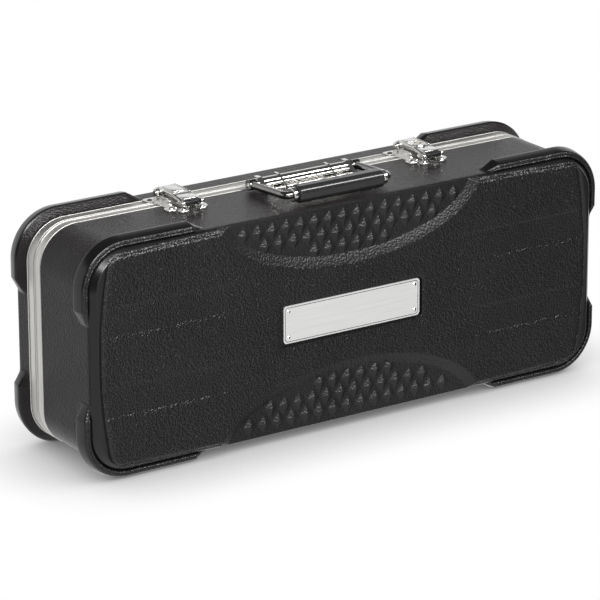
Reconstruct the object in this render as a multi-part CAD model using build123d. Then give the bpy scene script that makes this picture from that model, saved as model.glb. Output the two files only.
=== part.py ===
from build123d import *
import os
from math import atan2, degrees

# A moulded plastic carrying case for effects pedals, standing on its long edge.
# X runs along the case, Y from the front face to the lid, Z up to the carrying handle.
# The origin lies under the middle of the case, on the surface that it stands on.
# All lengths are in millimetres.

# ---- driving dimensions: the two shells ----
case_length = 504.0        # outside of the shell walls, along X
case_height = 190.0        # outside of the shell walls, along Z
deep_depth = 80.0          # deep half, from its face to its aluminium edge
lid_depth = 22.0           # shallow half, from its aluminium edge to its face
shell_wall = 3.0
corner_radius = 34.0       # of the walls, seen from the front
edge_radius = 8.0          # rounding between face and walls

# ---- moulded corner guards ----
guard_proud = 7.5          # how far they stand out of the walls
guard_setback = 4.0        # from the face to the guard's near side
guard_flat = 11.5
guard_slope = 6.0          # width of its sloping far side
guard_reach_x = 112.0      # along the long walls, from the end wall
guard_reach_z = 62.0       # along the end walls, from the long wall
guard_end = 13.0           # length of the ramp at each end
guard_round = 3.0
guard_root = 1.5           # how deep it is rooted in the wall

# ---- moulded pattern of the deep shell's face ----
lens_half_length = 133.0   # elliptical hollows at the top and bottom edges
lens_reach = 53.0          # from the wall towards the middle of the face
lens_beyond = 10.0         # ellipse centre, outside the wall
lens_depth = 4.0
lens_bevel = 12.0
band_width = 28.0          # shallow lengthwise bands beside the badge
band_centre = 34.0         # from the middle of the face
band_depth = 0.8
band_inner = 96.0
band_margin = 13.0

# ---- badge ----
badge_length = 137.0
badge_height = 32.5
badge_thickness = 1.0
badge_corner = 3.0
badge_pocket_depth = 2.0
badge_pocket_margin = 2.0
badge_rivet_inset = 5.0

# ---- aluminium edge profiles ----
valance_width = 11.0
valance_thickness = 4.6
valance_skin = 1.0         # outer flange, outside the shell's lip
valance_web = 3.5          # at the meeting faces
valance_channel = 0.3      # shallow channel along the outside
valance_bead = 1.8         # bead left on each side of that channel
lip_clearance = 0.1
lip_depth = 7.0            # of the shell's lip in the profile
lip_shadow = 0.4           # gap left between wall and profile
meeting_gap = 0.3
tongue_thickness = 1.4
tongue_height = 2.0
tongue_clearance = 0.4

# ---- padding ----
lining_thickness = 4.0
lining_clearance = 0.3
deep_pad_thickness = 10.0
lid_pad_thickness = 9.0
pad_clearance = 0.5

# ---- rivets and pins ----
hole_clearance = 0.1
pin_clearance = 0.05
rivet_radius = 1.5
rivet_head_radius = 3.0
rivet_head_height = 1.3
rivet_edge = 1.5           # least metal between a rivet head and a plate's end
rivet_tail_gap = 0.5       # from a rivet's tail to the inside of the wall
small_rivet_radius = 0.9
small_rivet_head_radius = 1.8
small_rivet_head_height = 0.8

# ---- hinges, under the case ----
hinge_offset = 130.0       # from the middle of the case
hinge_length = 50.0
hinge_plate = 1.2
hinge_leaf_width = 10.2
hinge_drop = 3.6           # pin axis below the walls
hinge_pin_radius = 1.2
hinge_pin_end = 0.5        # pin beyond the last knuckle
knuckle_radius = 2.6
knuckle_count = 5
knuckle_gap = 0.3
knuckle_relief = 0.01      # between a knuckle's web and the profile above it

# ---- latches ----
latch_offset = 121.0       # from the middle of the case
latch_plate = 1.2
lever_width = 18.0
lever_skin = 1.3
lever_flat = 24.0          # from the pivot to the break in its top
lever_reach = 38.0         # from the pivot to the front lip
lever_slope_drop = 2.9
lever_lip = 3.0
lever_round = 1.0
lever_pivot_height = 6.5   # above the walls
lever_pivot_back = 5.0     # behind the meeting faces
lever_end_radius = 4.4
lever_clearance = 1.0      # above the base plate
latch_pin_radius = 1.2
latch_pin_head_radius = 1.9
latch_pin_head = 0.8
latch_pin_play = 0.1
ear_thickness = 1.6
ear_gap = 0.6
ear_radius = 3.4
latch_wing = 42.0          # length of the lid-side plate
latch_wing_corner = 2.0
lid_wing_back = 0.5        # rivets behind the lever's pivot
latch_base_width = 34.0
latch_base_front = 35.0    # front edge, ahead of the meeting faces
latch_tab_radius = 5.5
latch_tab_reach = 4.5
latch_wall_length = 20.0
latch_wall_height = 6.5
latch_wall_offset = 12.0
keeper_width = 8.0
keeper_thickness = 3.0
keeper_height = 6.2
keeper_lip = 3.5
keeper_lip_thickness = 0.9
keeper_distance = 23.5     # ahead of the meeting faces
nose_thickness = 2.6
nose_gap = 0.5
lock_radius = 4.5
lock_collar_radius = 6.0
lock_collar_height = 0.9
lock_distance = 14.0       # ahead of the meeting faces
lock_cam_reach = 7.2
lock_cam_thickness = 1.2
lock_cam_width = 3.0
lock_cam_height = 5.0      # underside of the cam, above the walls
key_slot_length = 5.0
key_slot_width = 1.2
key_slot_depth = 2.0

# ---- carrying handle ----
handle_span = 104.0        # between the arm centre lines
handle_axis_front = 6.5    # pivot axis, ahead of the deep profile
handle_axis_height = 5.5   # above the walls
handle_arm = 51.5          # from the pivot axis to the grip axis
handle_bar_radius = 3.2
handle_bend = 5.0
handle_rise = 3.2          # grip axis above the pivot axis
eye_radius = 4.6
eye_margin = 0.3           # eye wider than the bar, on each side
grip_width = 16.0
grip_height = 14.5
grip_rounding = 5.5
grip_end_round = 2.0
ferrule_length = 4.4
ferrule_radius = 6.2
ferrule_round = 1.2
handle_plate = 1.5
handle_side_gap = 2.5      # between each eye and the end of the base
handle_base_width = 21.5
handle_base_corner = 3.0
handle_rail_radius = 4.2
handle_ear_thickness = 4.0
handle_rib_offset = 26.0
handle_rib_thickness = 2.2
handle_rib_start = 2.0     # from the plate's front edge to the ribs
handle_rib_step = 3.0      # depth of each rib's low front step
handle_rib_low = 2.5       # height of that step above the plate
handle_rib_shoulder = 2.8  # above the pivot axis
handle_rib_crown = 0.8     # above the rail
handle_pin_radius = 2.0
handle_pin_seat = 7.5      # depth in the ends of the base
handle_backing_thickness = 1.5
handle_rivet_inset = 9.0

# ---- worked-out planes ----
case_depth = deep_depth + 2 * valance_width + lid_depth
y_face = -case_depth / 2
y_deep_edge = y_face + deep_depth
y_part = y_deep_edge + valance_width
y_lid_edge = y_part + valance_width
y_back = y_lid_edge + lid_depth
z_floor = guard_proud
z_top = z_floor + case_height
z_mid = z_floor + case_height / 2
hinge_z = z_floor - hinge_drop
lever_y = y_part + lever_pivot_back
lever_z = z_top + lever_pivot_height
handle_y = y_deep_edge - handle_axis_front
handle_z = z_top + handle_axis_height
handle_base_length = handle_span - 2 * (handle_bar_radius + eye_margin + handle_side_gap)
grip_length = handle_span - 2 * (handle_bend + ferrule_length + 2 * pin_clearance)


# ---- helpers ----
def box(x_range, y_range, z_range):
    """Box between two limits along each axis."""
    size = [high - low for low, high in (x_range, y_range, z_range)]
    centre = [(high + low) / 2 for low, high in (x_range, y_range, z_range)]
    return Pos(*centre) * Box(*size)


def slab(y_from, y_to, inset=0.0):
    """Slab with the rounded outline of the case, `inset` inside its walls."""
    plane = Plane((0, y_to, z_mid), x_dir=(1, 0, 0), z_dir=(0, -1, 0))
    shape = RectangleRounded(case_length - 2 * inset, case_height - 2 * inset, corner_radius - inset)
    return extrude(plane * shape, y_to - y_from)


def ring(y_from, y_to, outer, inner):
    """Band around the case between two insets."""
    return slab(y_from, y_to, outer) - slab(y_from - 1, y_to + 1, inner)


def cylinder_x(radius, x_from, x_to, y, z):
    """Cylinder along X."""
    plane = Plane((x_from, y, z), x_dir=(0, 1, 0), z_dir=(1, 0, 0))
    return extrude(plane * Circle(radius), x_to - x_from)


def cylinder_z(radius, x, y, z_from, z_to):
    """Cylinder along Z."""
    return extrude(Plane((x, y, z_from)) * Circle(radius), z_to - z_from)


def side_profile(points, x_from, x_to):
    """Polygon in Y and Z, extruded along X."""
    plane = Plane((x_from, 0, 0), x_dir=(0, 1, 0), z_dir=(1, 0, 0))
    return extrude(plane * make_face(Polyline(*points, close=True)), x_to - x_from)


def dome(radius, height):
    """Domed head on the XY plane, rising along Z."""
    ball_radius = (radius ** 2 + height ** 2) / (2 * height)
    ball = Pos(0, 0, height - ball_radius) * Sphere(ball_radius)
    return ball & Pos(0, 0, height / 2) * Box(4 * radius, 4 * radius, height)


def rivet(radius, head_radius, head_height, grip):
    """Rivet standing on the XY plane with its shank pointing down."""
    shank = Pos(0, 0, -grip / 2) * Cylinder(radius, grip)
    return dome(head_radius, head_height) + shank


def rivets_z(places, z_seat, grip, up=True):
    """Rivets at (x, y) places, heads on the plane z_seat."""
    one = rivet(rivet_radius, rivet_head_radius, rivet_head_height, grip)
    turn = Rot(0, 0, 0) if up else Rot(180, 0, 0)
    return [Pos(x, y, z_seat) * turn * one for x, y in places]


def holes_z(places, z_from, z_to):
    """Clearance holes for rivets along Z."""
    return [cylinder_z(rivet_radius + hole_clearance, x, y, z_from, z_to) for x, y in places]


# ---- rivet places ----
latch_centres = {"left": -latch_offset, "right": latch_offset}
hinge_centres = {"left": -hinge_offset, "right": hinge_offset}
latch_tab_y = y_part - latch_base_front + latch_tab_radius / 2
latch_side_rivet_x = latch_base_width / 2 - latch_tab_radius
wing_rivet_x = latch_wing / 2 - rivet_head_radius - rivet_edge
hinge_rivet_step = hinge_length / 3


def latch_base_places(centre):
    """Rivets of one latch base: two at the sides and one on the middle tab."""
    front = y_part - latch_base_front
    sides = [(centre - latch_side_rivet_x, latch_tab_y), (centre + latch_side_rivet_x, latch_tab_y)]
    return sides + [(centre, front - latch_tab_reach + latch_tab_radius / 2)]


def wing_places(centre, y):
    """Rivets at the two ends of a latch plate."""
    return [(centre - wing_rivet_x, y), (centre + wing_rivet_x, y)]


def hinge_places(centre, side):
    """Rivets of one hinge leaf, side -1 for the deep half and 1 for the lid."""
    y = y_part + side * (valance_width / 2 + knuckle_radius / 2)
    return [(centre + step * hinge_rivet_step, y) for step in (-1, 0, 1)]


handle_rivet_x = handle_base_length / 2 - handle_rivet_inset
handle_rivet_y = y_deep_edge - handle_base_width + handle_rivet_inset / 2
handle_places = [
    (-handle_rivet_x, handle_rivet_y),
    (-handle_rib_offset / 2, handle_rivet_y),
    (handle_rib_offset / 2, handle_rivet_y),
    (handle_rivet_x, handle_rivet_y),
]
lid_wing_y = lever_y + lid_wing_back
deep_hinge_places = hinge_places(-hinge_offset, -1) + hinge_places(hinge_offset, -1)
lid_hinge_places = hinge_places(-hinge_offset, 1) + hinge_places(hinge_offset, 1)
base_places = latch_base_places(-latch_offset) + latch_base_places(latch_offset)
plate_places = wing_places(-latch_offset, lid_wing_y) + wing_places(latch_offset, lid_wing_y)
badge_rivet_x = badge_length / 2 - badge_rivet_inset
badge_rivet_z = badge_height / 2 - badge_rivet_inset
badge_places = [(sx * badge_rivet_x, sz * badge_rivet_z) for sx in (-1, 1) for sz in (-1, 1)]


# ---- shells ----
def guard_band():
    """The full band that the four corner guards of one half are cut from."""
    near = y_face + guard_setback
    far = near + guard_flat
    band = slab(near, far, -guard_proud)
    plane = Plane((0, far, z_mid), x_dir=(1, 0, 0), z_dir=(0, 1, 0))
    outline = RectangleRounded(
        case_length + 2 * guard_proud, case_height + 2 * guard_proud, corner_radius + guard_proud
    )
    slope = degrees(atan2(guard_proud + guard_root, guard_slope))
    band += extrude(plane * outline, guard_slope, taper=slope)
    band = fillet(band.edges().group_by(Axis.Y)[0], guard_round)
    return band - slab(near - 1, far + guard_slope + 1, guard_root)


def guard_window():
    """Prism over one corner, with sloping ends, drawn for the upper right corner."""
    x_wall = case_length / 2
    z_wall = z_top
    over = 2 * guard_proud
    points = [
        (x_wall + over, z_wall + over),
        (x_wall - guard_reach_x + 2 * guard_end, z_wall + over),
        (x_wall - guard_reach_x, z_wall),
        (x_wall - guard_reach_x, z_wall - 2 * guard_root),
        (x_wall - corner_radius, z_wall - corner_radius),
        (x_wall - 2 * guard_root, z_wall - guard_reach_z),
        (x_wall, z_wall - guard_reach_z),
        (x_wall + over, z_wall - guard_reach_z + 2 * guard_end),
    ]
    plane = Plane((0, y_face + deep_depth, 0), x_dir=(1, 0, 0), z_dir=(0, -1, 0))
    return extrude(plane * make_face(Polyline(*points, close=True)), deep_depth)


def corner_guards():
    """Four L-shaped guards."""
    right_top = guard_band() & guard_window()
    left_top = mirror(right_top, about=Plane.YZ)
    middle = Plane((0, 0, z_mid), z_dir=(0, 0, 1))
    return [right_top, left_top, mirror(right_top, about=middle), mirror(left_top, about=middle)]


def open_shell(depth):
    """Open box with its face at y_face, guards outside and a lip for the edge profile."""
    edge = y_face + depth
    body = slab(y_face, edge - lip_shadow)
    body = fillet(body.edges().group_by(Axis.Y)[0], edge_radius)
    body += slab(edge - lip_shadow, edge + lip_depth, valance_skin + lip_clearance)
    for guard in corner_guards():
        body += guard
    hollow = slab(y_face + shell_wall, edge + lip_depth, shell_wall)
    hollow = fillet(hollow.edges().group_by(Axis.Y)[0], edge_radius - shell_wall)
    return body - hollow


def lens(end, grow, y_from, y_to, shrink=0.0):
    """Elliptical block over the top (end 1) or bottom (end -1) edge of the face."""
    centre_z = z_mid + end * (case_height / 2 + lens_beyond)
    half_height = lens_reach + lens_beyond
    sections = []
    for y, change in ((y_from, grow), (y_to, grow - shrink)):
        plane = Plane((0, y, centre_z), x_dir=(1, 0, 0), z_dir=(0, 1, 0))
        sections.append(plane * Ellipse(lens_half_length + change, half_height + change))
    return loft(sections)


def deep_shell():
    """Deep half: lens hollows, bands and badge pocket in its face."""
    body = open_shell(deep_depth)
    inside = slab(y_face + shell_wall / 2, y_deep_edge, shell_wall / 2)
    floor = y_face + lens_depth
    slope = lens_bevel / lens_depth
    for end in (1, -1):
        backing = lens(end, -shell_wall, y_face + shell_wall / 2, floor + shell_wall)
        body += backing & inside
    pocket_length = badge_length + 2 * badge_pocket_margin
    pocket_height = badge_height + 2 * badge_pocket_margin
    pocket_floor = y_face + badge_pocket_depth
    body += box(
        (-pocket_length / 2 - shell_wall, pocket_length / 2 + shell_wall),
        (y_face + shell_wall / 2, pocket_floor + shell_wall),
        (z_mid - pocket_height / 2 - shell_wall, z_mid + pocket_height / 2 + shell_wall),
    )
    for end in (1, -1):
        body -= lens(end, slope, y_face - 1, floor, lens_bevel + slope)
        for side in (-1, 1):
            x_range = sorted((side * band_inner, side * (case_length / 2 - band_margin)))
            z_centre = z_mid + end * band_centre
            z_range = (z_centre - band_width / 2, z_centre + band_width / 2)
            body -= box(x_range, (y_face - 1, y_face + band_depth), z_range)
    plane = Plane((0, pocket_floor, z_mid), x_dir=(1, 0, 0), z_dir=(0, -1, 0))
    corner = badge_corner + badge_pocket_margin
    body -= extrude(plane * RectangleRounded(pocket_length, pocket_height, corner), badge_pocket_depth + 1)
    places = base_places + handle_places
    for hole in holes_z(places, z_top - 2 * shell_wall, z_top + 1):
        body -= hole
    for hole in holes_z(deep_hinge_places, z_floor - 1, z_floor + 2 * shell_wall):
        body -= hole
    for x, z in badge_places:
        hole = Cylinder(small_rivet_radius + hole_clearance, 2 * (badge_pocket_depth + shell_wall + 1))
        body -= Plane((x, y_face, z_mid + z), z_dir=(0, 1, 0)) * hole
    return body


def lid_shell():
    """Shallow half, mirrored so that its face looks backwards."""
    body = mirror(open_shell(lid_depth), about=Plane.XZ)
    for hole in holes_z(plate_places, z_top - 2 * shell_wall, z_top + 1):
        body -= hole
    for hole in holes_z(lid_hinge_places, z_floor - 1, z_floor + 2 * shell_wall):
        body -= hole
    return body


# ---- aluminium edge profiles ----
def valance(y_outer, y_meet):
    """Edge profile from the shell (y_outer) to the meeting face (y_meet)."""
    low, high = sorted((y_outer, y_meet))
    towards = 1 if y_meet > y_outer else -1
    body = ring(low, high, 0.0, valance_thickness)
    slot_end = y_meet - towards * valance_web
    slot = sorted((y_outer - towards, slot_end))
    body -= ring(*slot, valance_skin, shell_wall + lip_clearance)
    body -= ring(low + valance_bead, high - valance_bead, -1.0, valance_channel)
    return body


tongue_outer = (valance_thickness - tongue_thickness) / 2


def deep_valance():
    """Deep half's profile, with a groove for the tongue of the other."""
    y_meet = y_part - meeting_gap / 2
    body = valance(y_deep_edge, y_meet)
    groove_depth = tongue_height + tongue_clearance
    groove_inner = tongue_outer + tongue_thickness + tongue_clearance
    body -= ring(y_meet - groove_depth, y_meet + 1, tongue_outer - tongue_clearance, groove_inner)
    for hole in holes_z(deep_hinge_places, z_floor - 1, z_floor + valance_thickness / 2 + 1):
        body -= hole
    return body


def lid_valance():
    """Lid's profile, with a tongue all round."""
    y_meet = y_part + meeting_gap / 2
    body = valance(y_lid_edge, y_meet)
    body += ring(y_meet - tongue_height, y_meet + 1, tongue_outer, tongue_outer + tongue_thickness)
    for hole in holes_z(lid_hinge_places, z_floor - 1, z_floor + valance_thickness / 2 + 1):
        body -= hole
    for hole in holes_z(plate_places, z_top - valance_thickness / 2 - 1, z_top + 1):
        body -= hole
    return body


# ---- padding ----
lining_outer = shell_wall + lining_clearance
lining_inner = lining_outer + lining_thickness
rim_outer = valance_thickness + lining_clearance
deep_floor = y_face + lens_depth + shell_wall + lining_clearance
lid_floor = y_back - shell_wall - lining_clearance


def tray(y_floor, y_edge, y_meet):
    """Lining of one half: a floor and walls that end inside the edge profile."""
    towards = 1 if y_meet > y_floor else -1
    step = y_edge - towards * lining_clearance
    rim = y_meet - towards * (valance_web + tongue_clearance)
    body = slab(*sorted((y_floor, step)), lining_outer)
    rim_at_floor = body.edges().group_by(Axis.Y)[0 if towards > 0 else -1]
    body = fillet(rim_at_floor, edge_radius - shell_wall)
    body += slab(*sorted((y_floor + towards * lining_thickness, rim)), rim_outer)
    hollow = slab(*sorted((y_floor + towards * lining_thickness, rim + towards)), lining_inner)
    return body - hollow


def pad(y_from, y_to):
    """Foam pad lying in a lined half."""
    return slab(y_from, y_to, lining_inner + pad_clearance)


def deep_lining():
    """Lining of the deep half, let out around the handle's backing strip."""
    half = handle_base_length / 2 + lining_clearance
    reach = handle_rivet_inset / 2 + lining_clearance
    strip = box(
        (-half, half),
        (handle_rivet_y - reach, handle_rivet_y + reach),
        (z_top - shell_wall - handle_backing_thickness - lining_clearance, z_top),
    )
    return tray(deep_floor, y_deep_edge, y_part) - strip


def deep_pad():
    """Foam in the bottom of the deep half."""
    base = deep_floor + lining_thickness + lining_clearance
    return pad(base, base + deep_pad_thickness)


def lid_pad():
    """Foam in the lid."""
    base = lid_floor - lining_thickness - lining_clearance
    return pad(base - lid_pad_thickness, base)


# ---- badge ----
badge_seat = y_face + badge_pocket_depth


def badge_plate():
    """Bare plate in its pocket."""
    plane = Plane((0, badge_seat, z_mid), x_dir=(1, 0, 0), z_dir=(0, -1, 0))
    body = extrude(plane * RectangleRounded(badge_length, badge_height, badge_corner), badge_thickness)
    for x, z in badge_places:
        hole = Cylinder(small_rivet_radius + hole_clearance, 4 * badge_thickness)
        body -= Plane((x, badge_seat, z_mid + z), z_dir=(0, -1, 0)) * hole
    return body


def badge_rivets():
    """Four small rivets in the corners of the badge."""
    grip = badge_thickness + shell_wall - rivet_tail_gap
    one = rivet(small_rivet_radius, small_rivet_head_radius, small_rivet_head_height, grip)
    seat = badge_seat - badge_thickness
    return [Plane((x, seat, z_mid + z), z_dir=(0, -1, 0)) * one for x, z in badge_places]


# ---- hinges ----
def hinge_leaf(centre, side):
    """Leaf under one profile with its knuckles; side -1 is the deep half."""
    start = centre - hinge_length / 2
    pitch = hinge_length / knuckle_count
    inner = knuckle_radius + knuckle_gap
    y_range = sorted((y_part + side * inner, y_part + side * hinge_leaf_width))
    body = box((start, start + hinge_length), y_range, (z_floor - hinge_plate, z_floor))
    first = 0 if side < 0 else 1
    for index in range(first, knuckle_count, 2):
        x_from = start + index * pitch + knuckle_gap / 2
        x_to = x_from + pitch - knuckle_gap
        web = sorted((y_part, y_part + side * (inner + knuckle_gap)))
        body += box((x_from, x_to), web, (hinge_z + knuckle_radius - hinge_plate, z_floor - knuckle_relief))
        body += cylinder_x(knuckle_radius, x_from, x_to, y_part, hinge_z)
    bore = hinge_pin_radius + pin_clearance
    body -= cylinder_x(bore, start - 1, start + hinge_length + 1, y_part, hinge_z)
    for hole in holes_z(hinge_places(centre, side), z_floor - 2 * hinge_plate, z_floor + 1):
        body -= hole
    return body


def hinge_pin(centre):
    """Pin through all the knuckles of one hinge."""
    half = hinge_length / 2 + hinge_pin_end
    return cylinder_x(hinge_pin_radius, centre - half, centre + half, y_part, hinge_z)


# ---- latches ----
base_top = z_top + latch_plate
lever_half = lever_width / 2
lever_top = lever_z + lever_end_radius
lever_bottom = base_top + lever_clearance
keeper_y = y_part - keeper_distance
lock_y = y_part - lock_distance


def latch_base(centre):
    """Base on the deep half: plate with rivet tabs, side walls and the keeper."""
    front = y_part - latch_base_front
    back = y_part - meeting_gap
    half = latch_base_width / 2
    plate = box((centre - half, centre + half), (front, back), (z_top, base_top))
    plate = fillet(plate.edges().filter_by(Axis.Z).group_by(Axis.Y)[0], latch_tab_radius)
    tab_y = front - latch_tab_reach + latch_tab_radius / 2
    plate += cylinder_z(latch_tab_radius, centre, tab_y, z_top, base_top)
    for side in (-1, 1):
        inner = centre + side * latch_wall_offset
        wall = sorted((inner, inner + side * latch_plate))
        y_range = (back - latch_wall_length, back)
        flange = box(wall, y_range, (z_top, z_top + latch_wall_height))
        plate += fillet(flange.edges().filter_by(Axis.X).group_by(Axis.Z)[-1], latch_plate)
    keeper = box(
        (centre - keeper_width / 2, centre + keeper_width / 2),
        (keeper_y - keeper_thickness, keeper_y),
        (z_top, z_top + keeper_height + keeper_lip_thickness),
    )
    keeper += box(
        (centre - keeper_width / 2, centre + keeper_width / 2),
        (keeper_y, keeper_y + keeper_lip),
        (z_top + keeper_height + keeper_lip_thickness / 2, z_top + keeper_height + keeper_lip_thickness),
    )
    plate += keeper
    for hole in holes_z(latch_base_places(centre), z_top - 1, base_top + 1):
        plate -= hole
    return plate


def latch_hinge_plate(centre):
    """Plate on the lid's profile with the two ears that carry the lever."""
    half = latch_wing / 2
    y_range = (y_part + meeting_gap, y_lid_edge - lip_shadow)
    body = box((centre - half, centre + half), y_range, (z_top, base_top))
    body = fillet(body.edges().filter_by(Axis.Z), latch_wing_corner)
    for side in (-1, 1):
        inner = centre + side * (lever_half + ear_gap)
        ear = sorted((inner, inner + side * ear_thickness))
        body += box(ear, (lever_y - ear_radius, lever_y + ear_radius), (z_top, lever_z))
        body += cylinder_x(ear_radius, *ear, lever_y, lever_z)
    body -= cylinder_x(latch_pin_radius + pin_clearance, centre - half, centre + half, lever_y, lever_z)
    for hole in holes_z(wing_places(centre, lid_wing_y), z_top - 1, base_top + 1):
        body -= hole
    return body


def latch_pin(centre):
    """Pin through the ears and the lever, with a flat head at each end."""
    half = lever_half + ear_gap + ear_thickness + latch_pin_play
    body = cylinder_x(latch_pin_radius, centre - half, centre + half, lever_y, lever_z)
    for side in (-1, 1):
        head = sorted((centre + side * half, centre + side * (half + latch_pin_head)))
        body += cylinder_x(latch_pin_head_radius, *head, lever_y, lever_z)
    return body


def latch_lever(centre, locked):
    """Lever: a folded cover with a sloping front, a finger lip and a nose for the keeper."""
    y_break = lever_y - lever_flat
    y_front = lever_y - lever_reach
    z_front = lever_top - lever_slope_drop
    skin = lever_skin
    outer = [
        (lever_y, lever_top),
        (y_break, lever_top),
        (y_front, z_front),
        (y_front, lever_bottom),
        (lever_y, lever_bottom),
    ]
    inner = [
        (lever_y, lever_top - skin),
        (y_break, lever_top - skin),
        (y_front - 1, z_front - skin - lever_slope_drop / (lever_reach - lever_flat)),
        (y_front - 1, lever_bottom - 1),
        (lever_y, lever_bottom - 1),
    ]
    x_range = (centre - lever_half, centre + lever_half)
    body = side_profile(outer, *x_range)
    upper = body.edges().filter_by(lambda edge: edge.center().Z > z_front + 0.1)
    body = fillet(upper - upper.filter_by(Axis.X), lever_round)
    body += cylinder_x(lever_end_radius, *x_range, lever_y, lever_z)
    cavity = (centre - lever_half + skin, centre + lever_half - skin)
    body -= side_profile(inner, *cavity)
    body -= cylinder_x(lever_end_radius - skin, *cavity, lever_y, lever_z)
    body -= box(cavity, (lever_y - 1, lever_y + lever_end_radius + 1), (lever_bottom - 1, lever_z))
    lip = [
        (y_front + 0.5, z_front),
        (y_front - 0.6 * lever_lip, z_front - 0.2 * lever_lip),
        (y_front - lever_lip, z_front - lever_lip),
        (y_front - lever_lip + skin, z_front - lever_lip),
        (y_front - 0.6 * lever_lip + skin, z_front - 0.2 * lever_lip - skin),
        (y_front + 0.5, z_front - skin),
    ]
    body += side_profile(lip, *x_range)
    nose_y = keeper_y - keeper_thickness - nose_gap
    slope_share = (y_break - nose_y) / (y_break - y_front)
    nose_top = lever_top - slope_share * lever_slope_drop - skin / 2
    body += box(
        (centre - keeper_width / 2, centre + keeper_width / 2),
        (nose_y - nose_thickness, nose_y),
        (z_top + keeper_height / 2, nose_top),
    )
    body -= cylinder_x(latch_pin_radius + pin_clearance, *x_range, lever_y, lever_z)
    if locked:
        body -= cylinder_z(lock_radius + pin_clearance, centre, lock_y, lever_z, lever_top + 1)
    return body


def lock_collar(centre):
    """Raised ring around the key lock."""
    top = lever_top + lock_collar_height
    body = cylinder_z(lock_collar_radius, centre, lock_y, lever_top, top)
    body = fillet(body.edges().group_by(Axis.Z)[-1], lock_collar_height / 2)
    return body - cylinder_z(lock_radius + pin_clearance, centre, lock_y, lever_top - 1, top + 1)


def lock_plug(centre):
    """Turning plug with a key slot above and the locking cam below."""
    cam_top = z_top + lock_cam_height + lock_cam_thickness
    top = lever_top + lock_collar_height / 2
    body = cylinder_z(lock_radius, centre, lock_y, cam_top - lock_cam_thickness, top)
    slot = box(
        (centre - key_slot_length / 2, centre + key_slot_length / 2),
        (lock_y - key_slot_width / 2, lock_y + key_slot_width / 2),
        (top - key_slot_depth, top + 1),
    )
    cam = box(
        (centre, centre + lock_cam_reach),
        (lock_y - lock_cam_width / 2, lock_y + lock_cam_width / 2),
        (z_top + lock_cam_height, cam_top),
    )
    return body - slot + cam


# ---- carrying handle ----
grip_y = handle_y - handle_arm
grip_z = handle_z + handle_rise


def handle_base():
    """Base strip with the rail, ribs and pivot ears."""
    half = handle_base_length / 2
    back = y_deep_edge - lip_shadow
    front = back - handle_base_width
    plate_top = z_top + handle_plate
    body = box((-half, half), (front, back), (z_top, plate_top))
    body = fillet(body.edges().filter_by(Axis.Z).group_by(Axis.Y)[0], handle_base_corner)
    body += box((-half, half), (handle_y, back), (z_top, handle_z))
    body += cylinder_x(handle_rail_radius, -half, half, handle_y, handle_z)
    foot = front + handle_rib_start
    crown = handle_z + handle_rail_radius + handle_rib_crown
    profile = [
        (foot, plate_top),
        (foot + handle_rib_step, plate_top + handle_rib_low),
        (handle_y - handle_rail_radius, handle_z + handle_rib_shoulder),
        (handle_y, crown),
        (back, crown),
        (back, z_top),
        (foot, z_top),
    ]
    for side in (-1, 1):
        for outer, thickness in ((half, handle_ear_thickness), (handle_rib_offset, handle_rib_thickness)):
            body += side_profile(profile, *sorted((side * (outer - thickness), side * outer)))
    for side in (-1, 1):
        reach = sorted((side * (half - handle_pin_seat - hole_clearance), side * (half + 1)))
        body -= cylinder_x(handle_pin_radius + pin_clearance, *reach, handle_y, handle_z)
    for hole in holes_z(handle_places, z_top - 1, plate_top + 1):
        body -= hole
    return body


def handle_pins():
    """Two stub pins in the ends of the base."""
    half = handle_base_length / 2
    pins = []
    for side in (-1, 1):
        reach = sorted((side * (half - handle_pin_seat), side * (handle_span / 2 + handle_bar_radius)))
        pins.append(cylinder_x(handle_pin_radius, *reach, handle_y, handle_z))
    return pins


def handle_bail():
    """Bent bar: two arms with eyes around the pins and the bar through the grip."""
    half = handle_span / 2
    start = (-half, handle_y, handle_z)
    corner_left = (-half, grip_y, grip_z)
    corner_right = (half, grip_y, grip_z)
    end = (half, handle_y, handle_z)
    path = FilletPolyline(start, corner_left, corner_right, end, radius=handle_bend)
    section = Plane(path @ 0, z_dir=path % 0) * Circle(handle_bar_radius)
    body = sweep(section, path=path)
    eye_half = handle_bar_radius + eye_margin
    for side in (-1, 1):
        reach = sorted((side * (half - eye_half), side * (half + eye_half)))
        body += cylinder_x(eye_radius, *reach, handle_y, handle_z)
        body -= cylinder_x(handle_pin_radius + pin_clearance, *reach, handle_y, handle_z)
    return body


def handle_grip():
    """Rounded grip moulded around the bar."""
    plane = Plane((-grip_length / 2, grip_y, grip_z), x_dir=(0, 1, 0), z_dir=(1, 0, 0))
    body = extrude(plane * RectangleRounded(grip_width, grip_height, grip_rounding), grip_length)
    ends = body.edges().group_by(Axis.X)[0] + body.edges().group_by(Axis.X)[-1]
    body = fillet(ends, grip_end_round)
    reach = grip_length / 2 + 1
    return body - cylinder_x(handle_bar_radius + hole_clearance, -reach, reach, grip_y, grip_z)


def handle_ferrules():
    """Caps between the grip and the bends of the bar."""
    caps = []
    for side in (-1, 1):
        inner = side * (grip_length / 2 + pin_clearance)
        reach = sorted((inner, inner + side * ferrule_length))
        cap = cylinder_x(ferrule_radius, *reach, grip_y, grip_z)
        cap = fillet(cap.edges().filter_by(GeomType.CIRCLE), ferrule_round)
        bore = cylinder_x(handle_bar_radius + hole_clearance, reach[0] - 1, reach[1] + 1, grip_y, grip_z)
        caps.append(cap - bore)
    return caps


def handle_backing():
    """Steel strip inside the deep half that the handle is riveted to."""
    half = handle_base_length / 2
    top = z_top - shell_wall
    body = box(
        (-half, half),
        (handle_rivet_y - handle_rivet_inset / 2, handle_rivet_y + handle_rivet_inset / 2),
        (top - handle_backing_thickness, top),
    )
    for hole in holes_z(handle_places, top - 2 * handle_backing_thickness, top + 1):
        body -= hole
    return body


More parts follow.
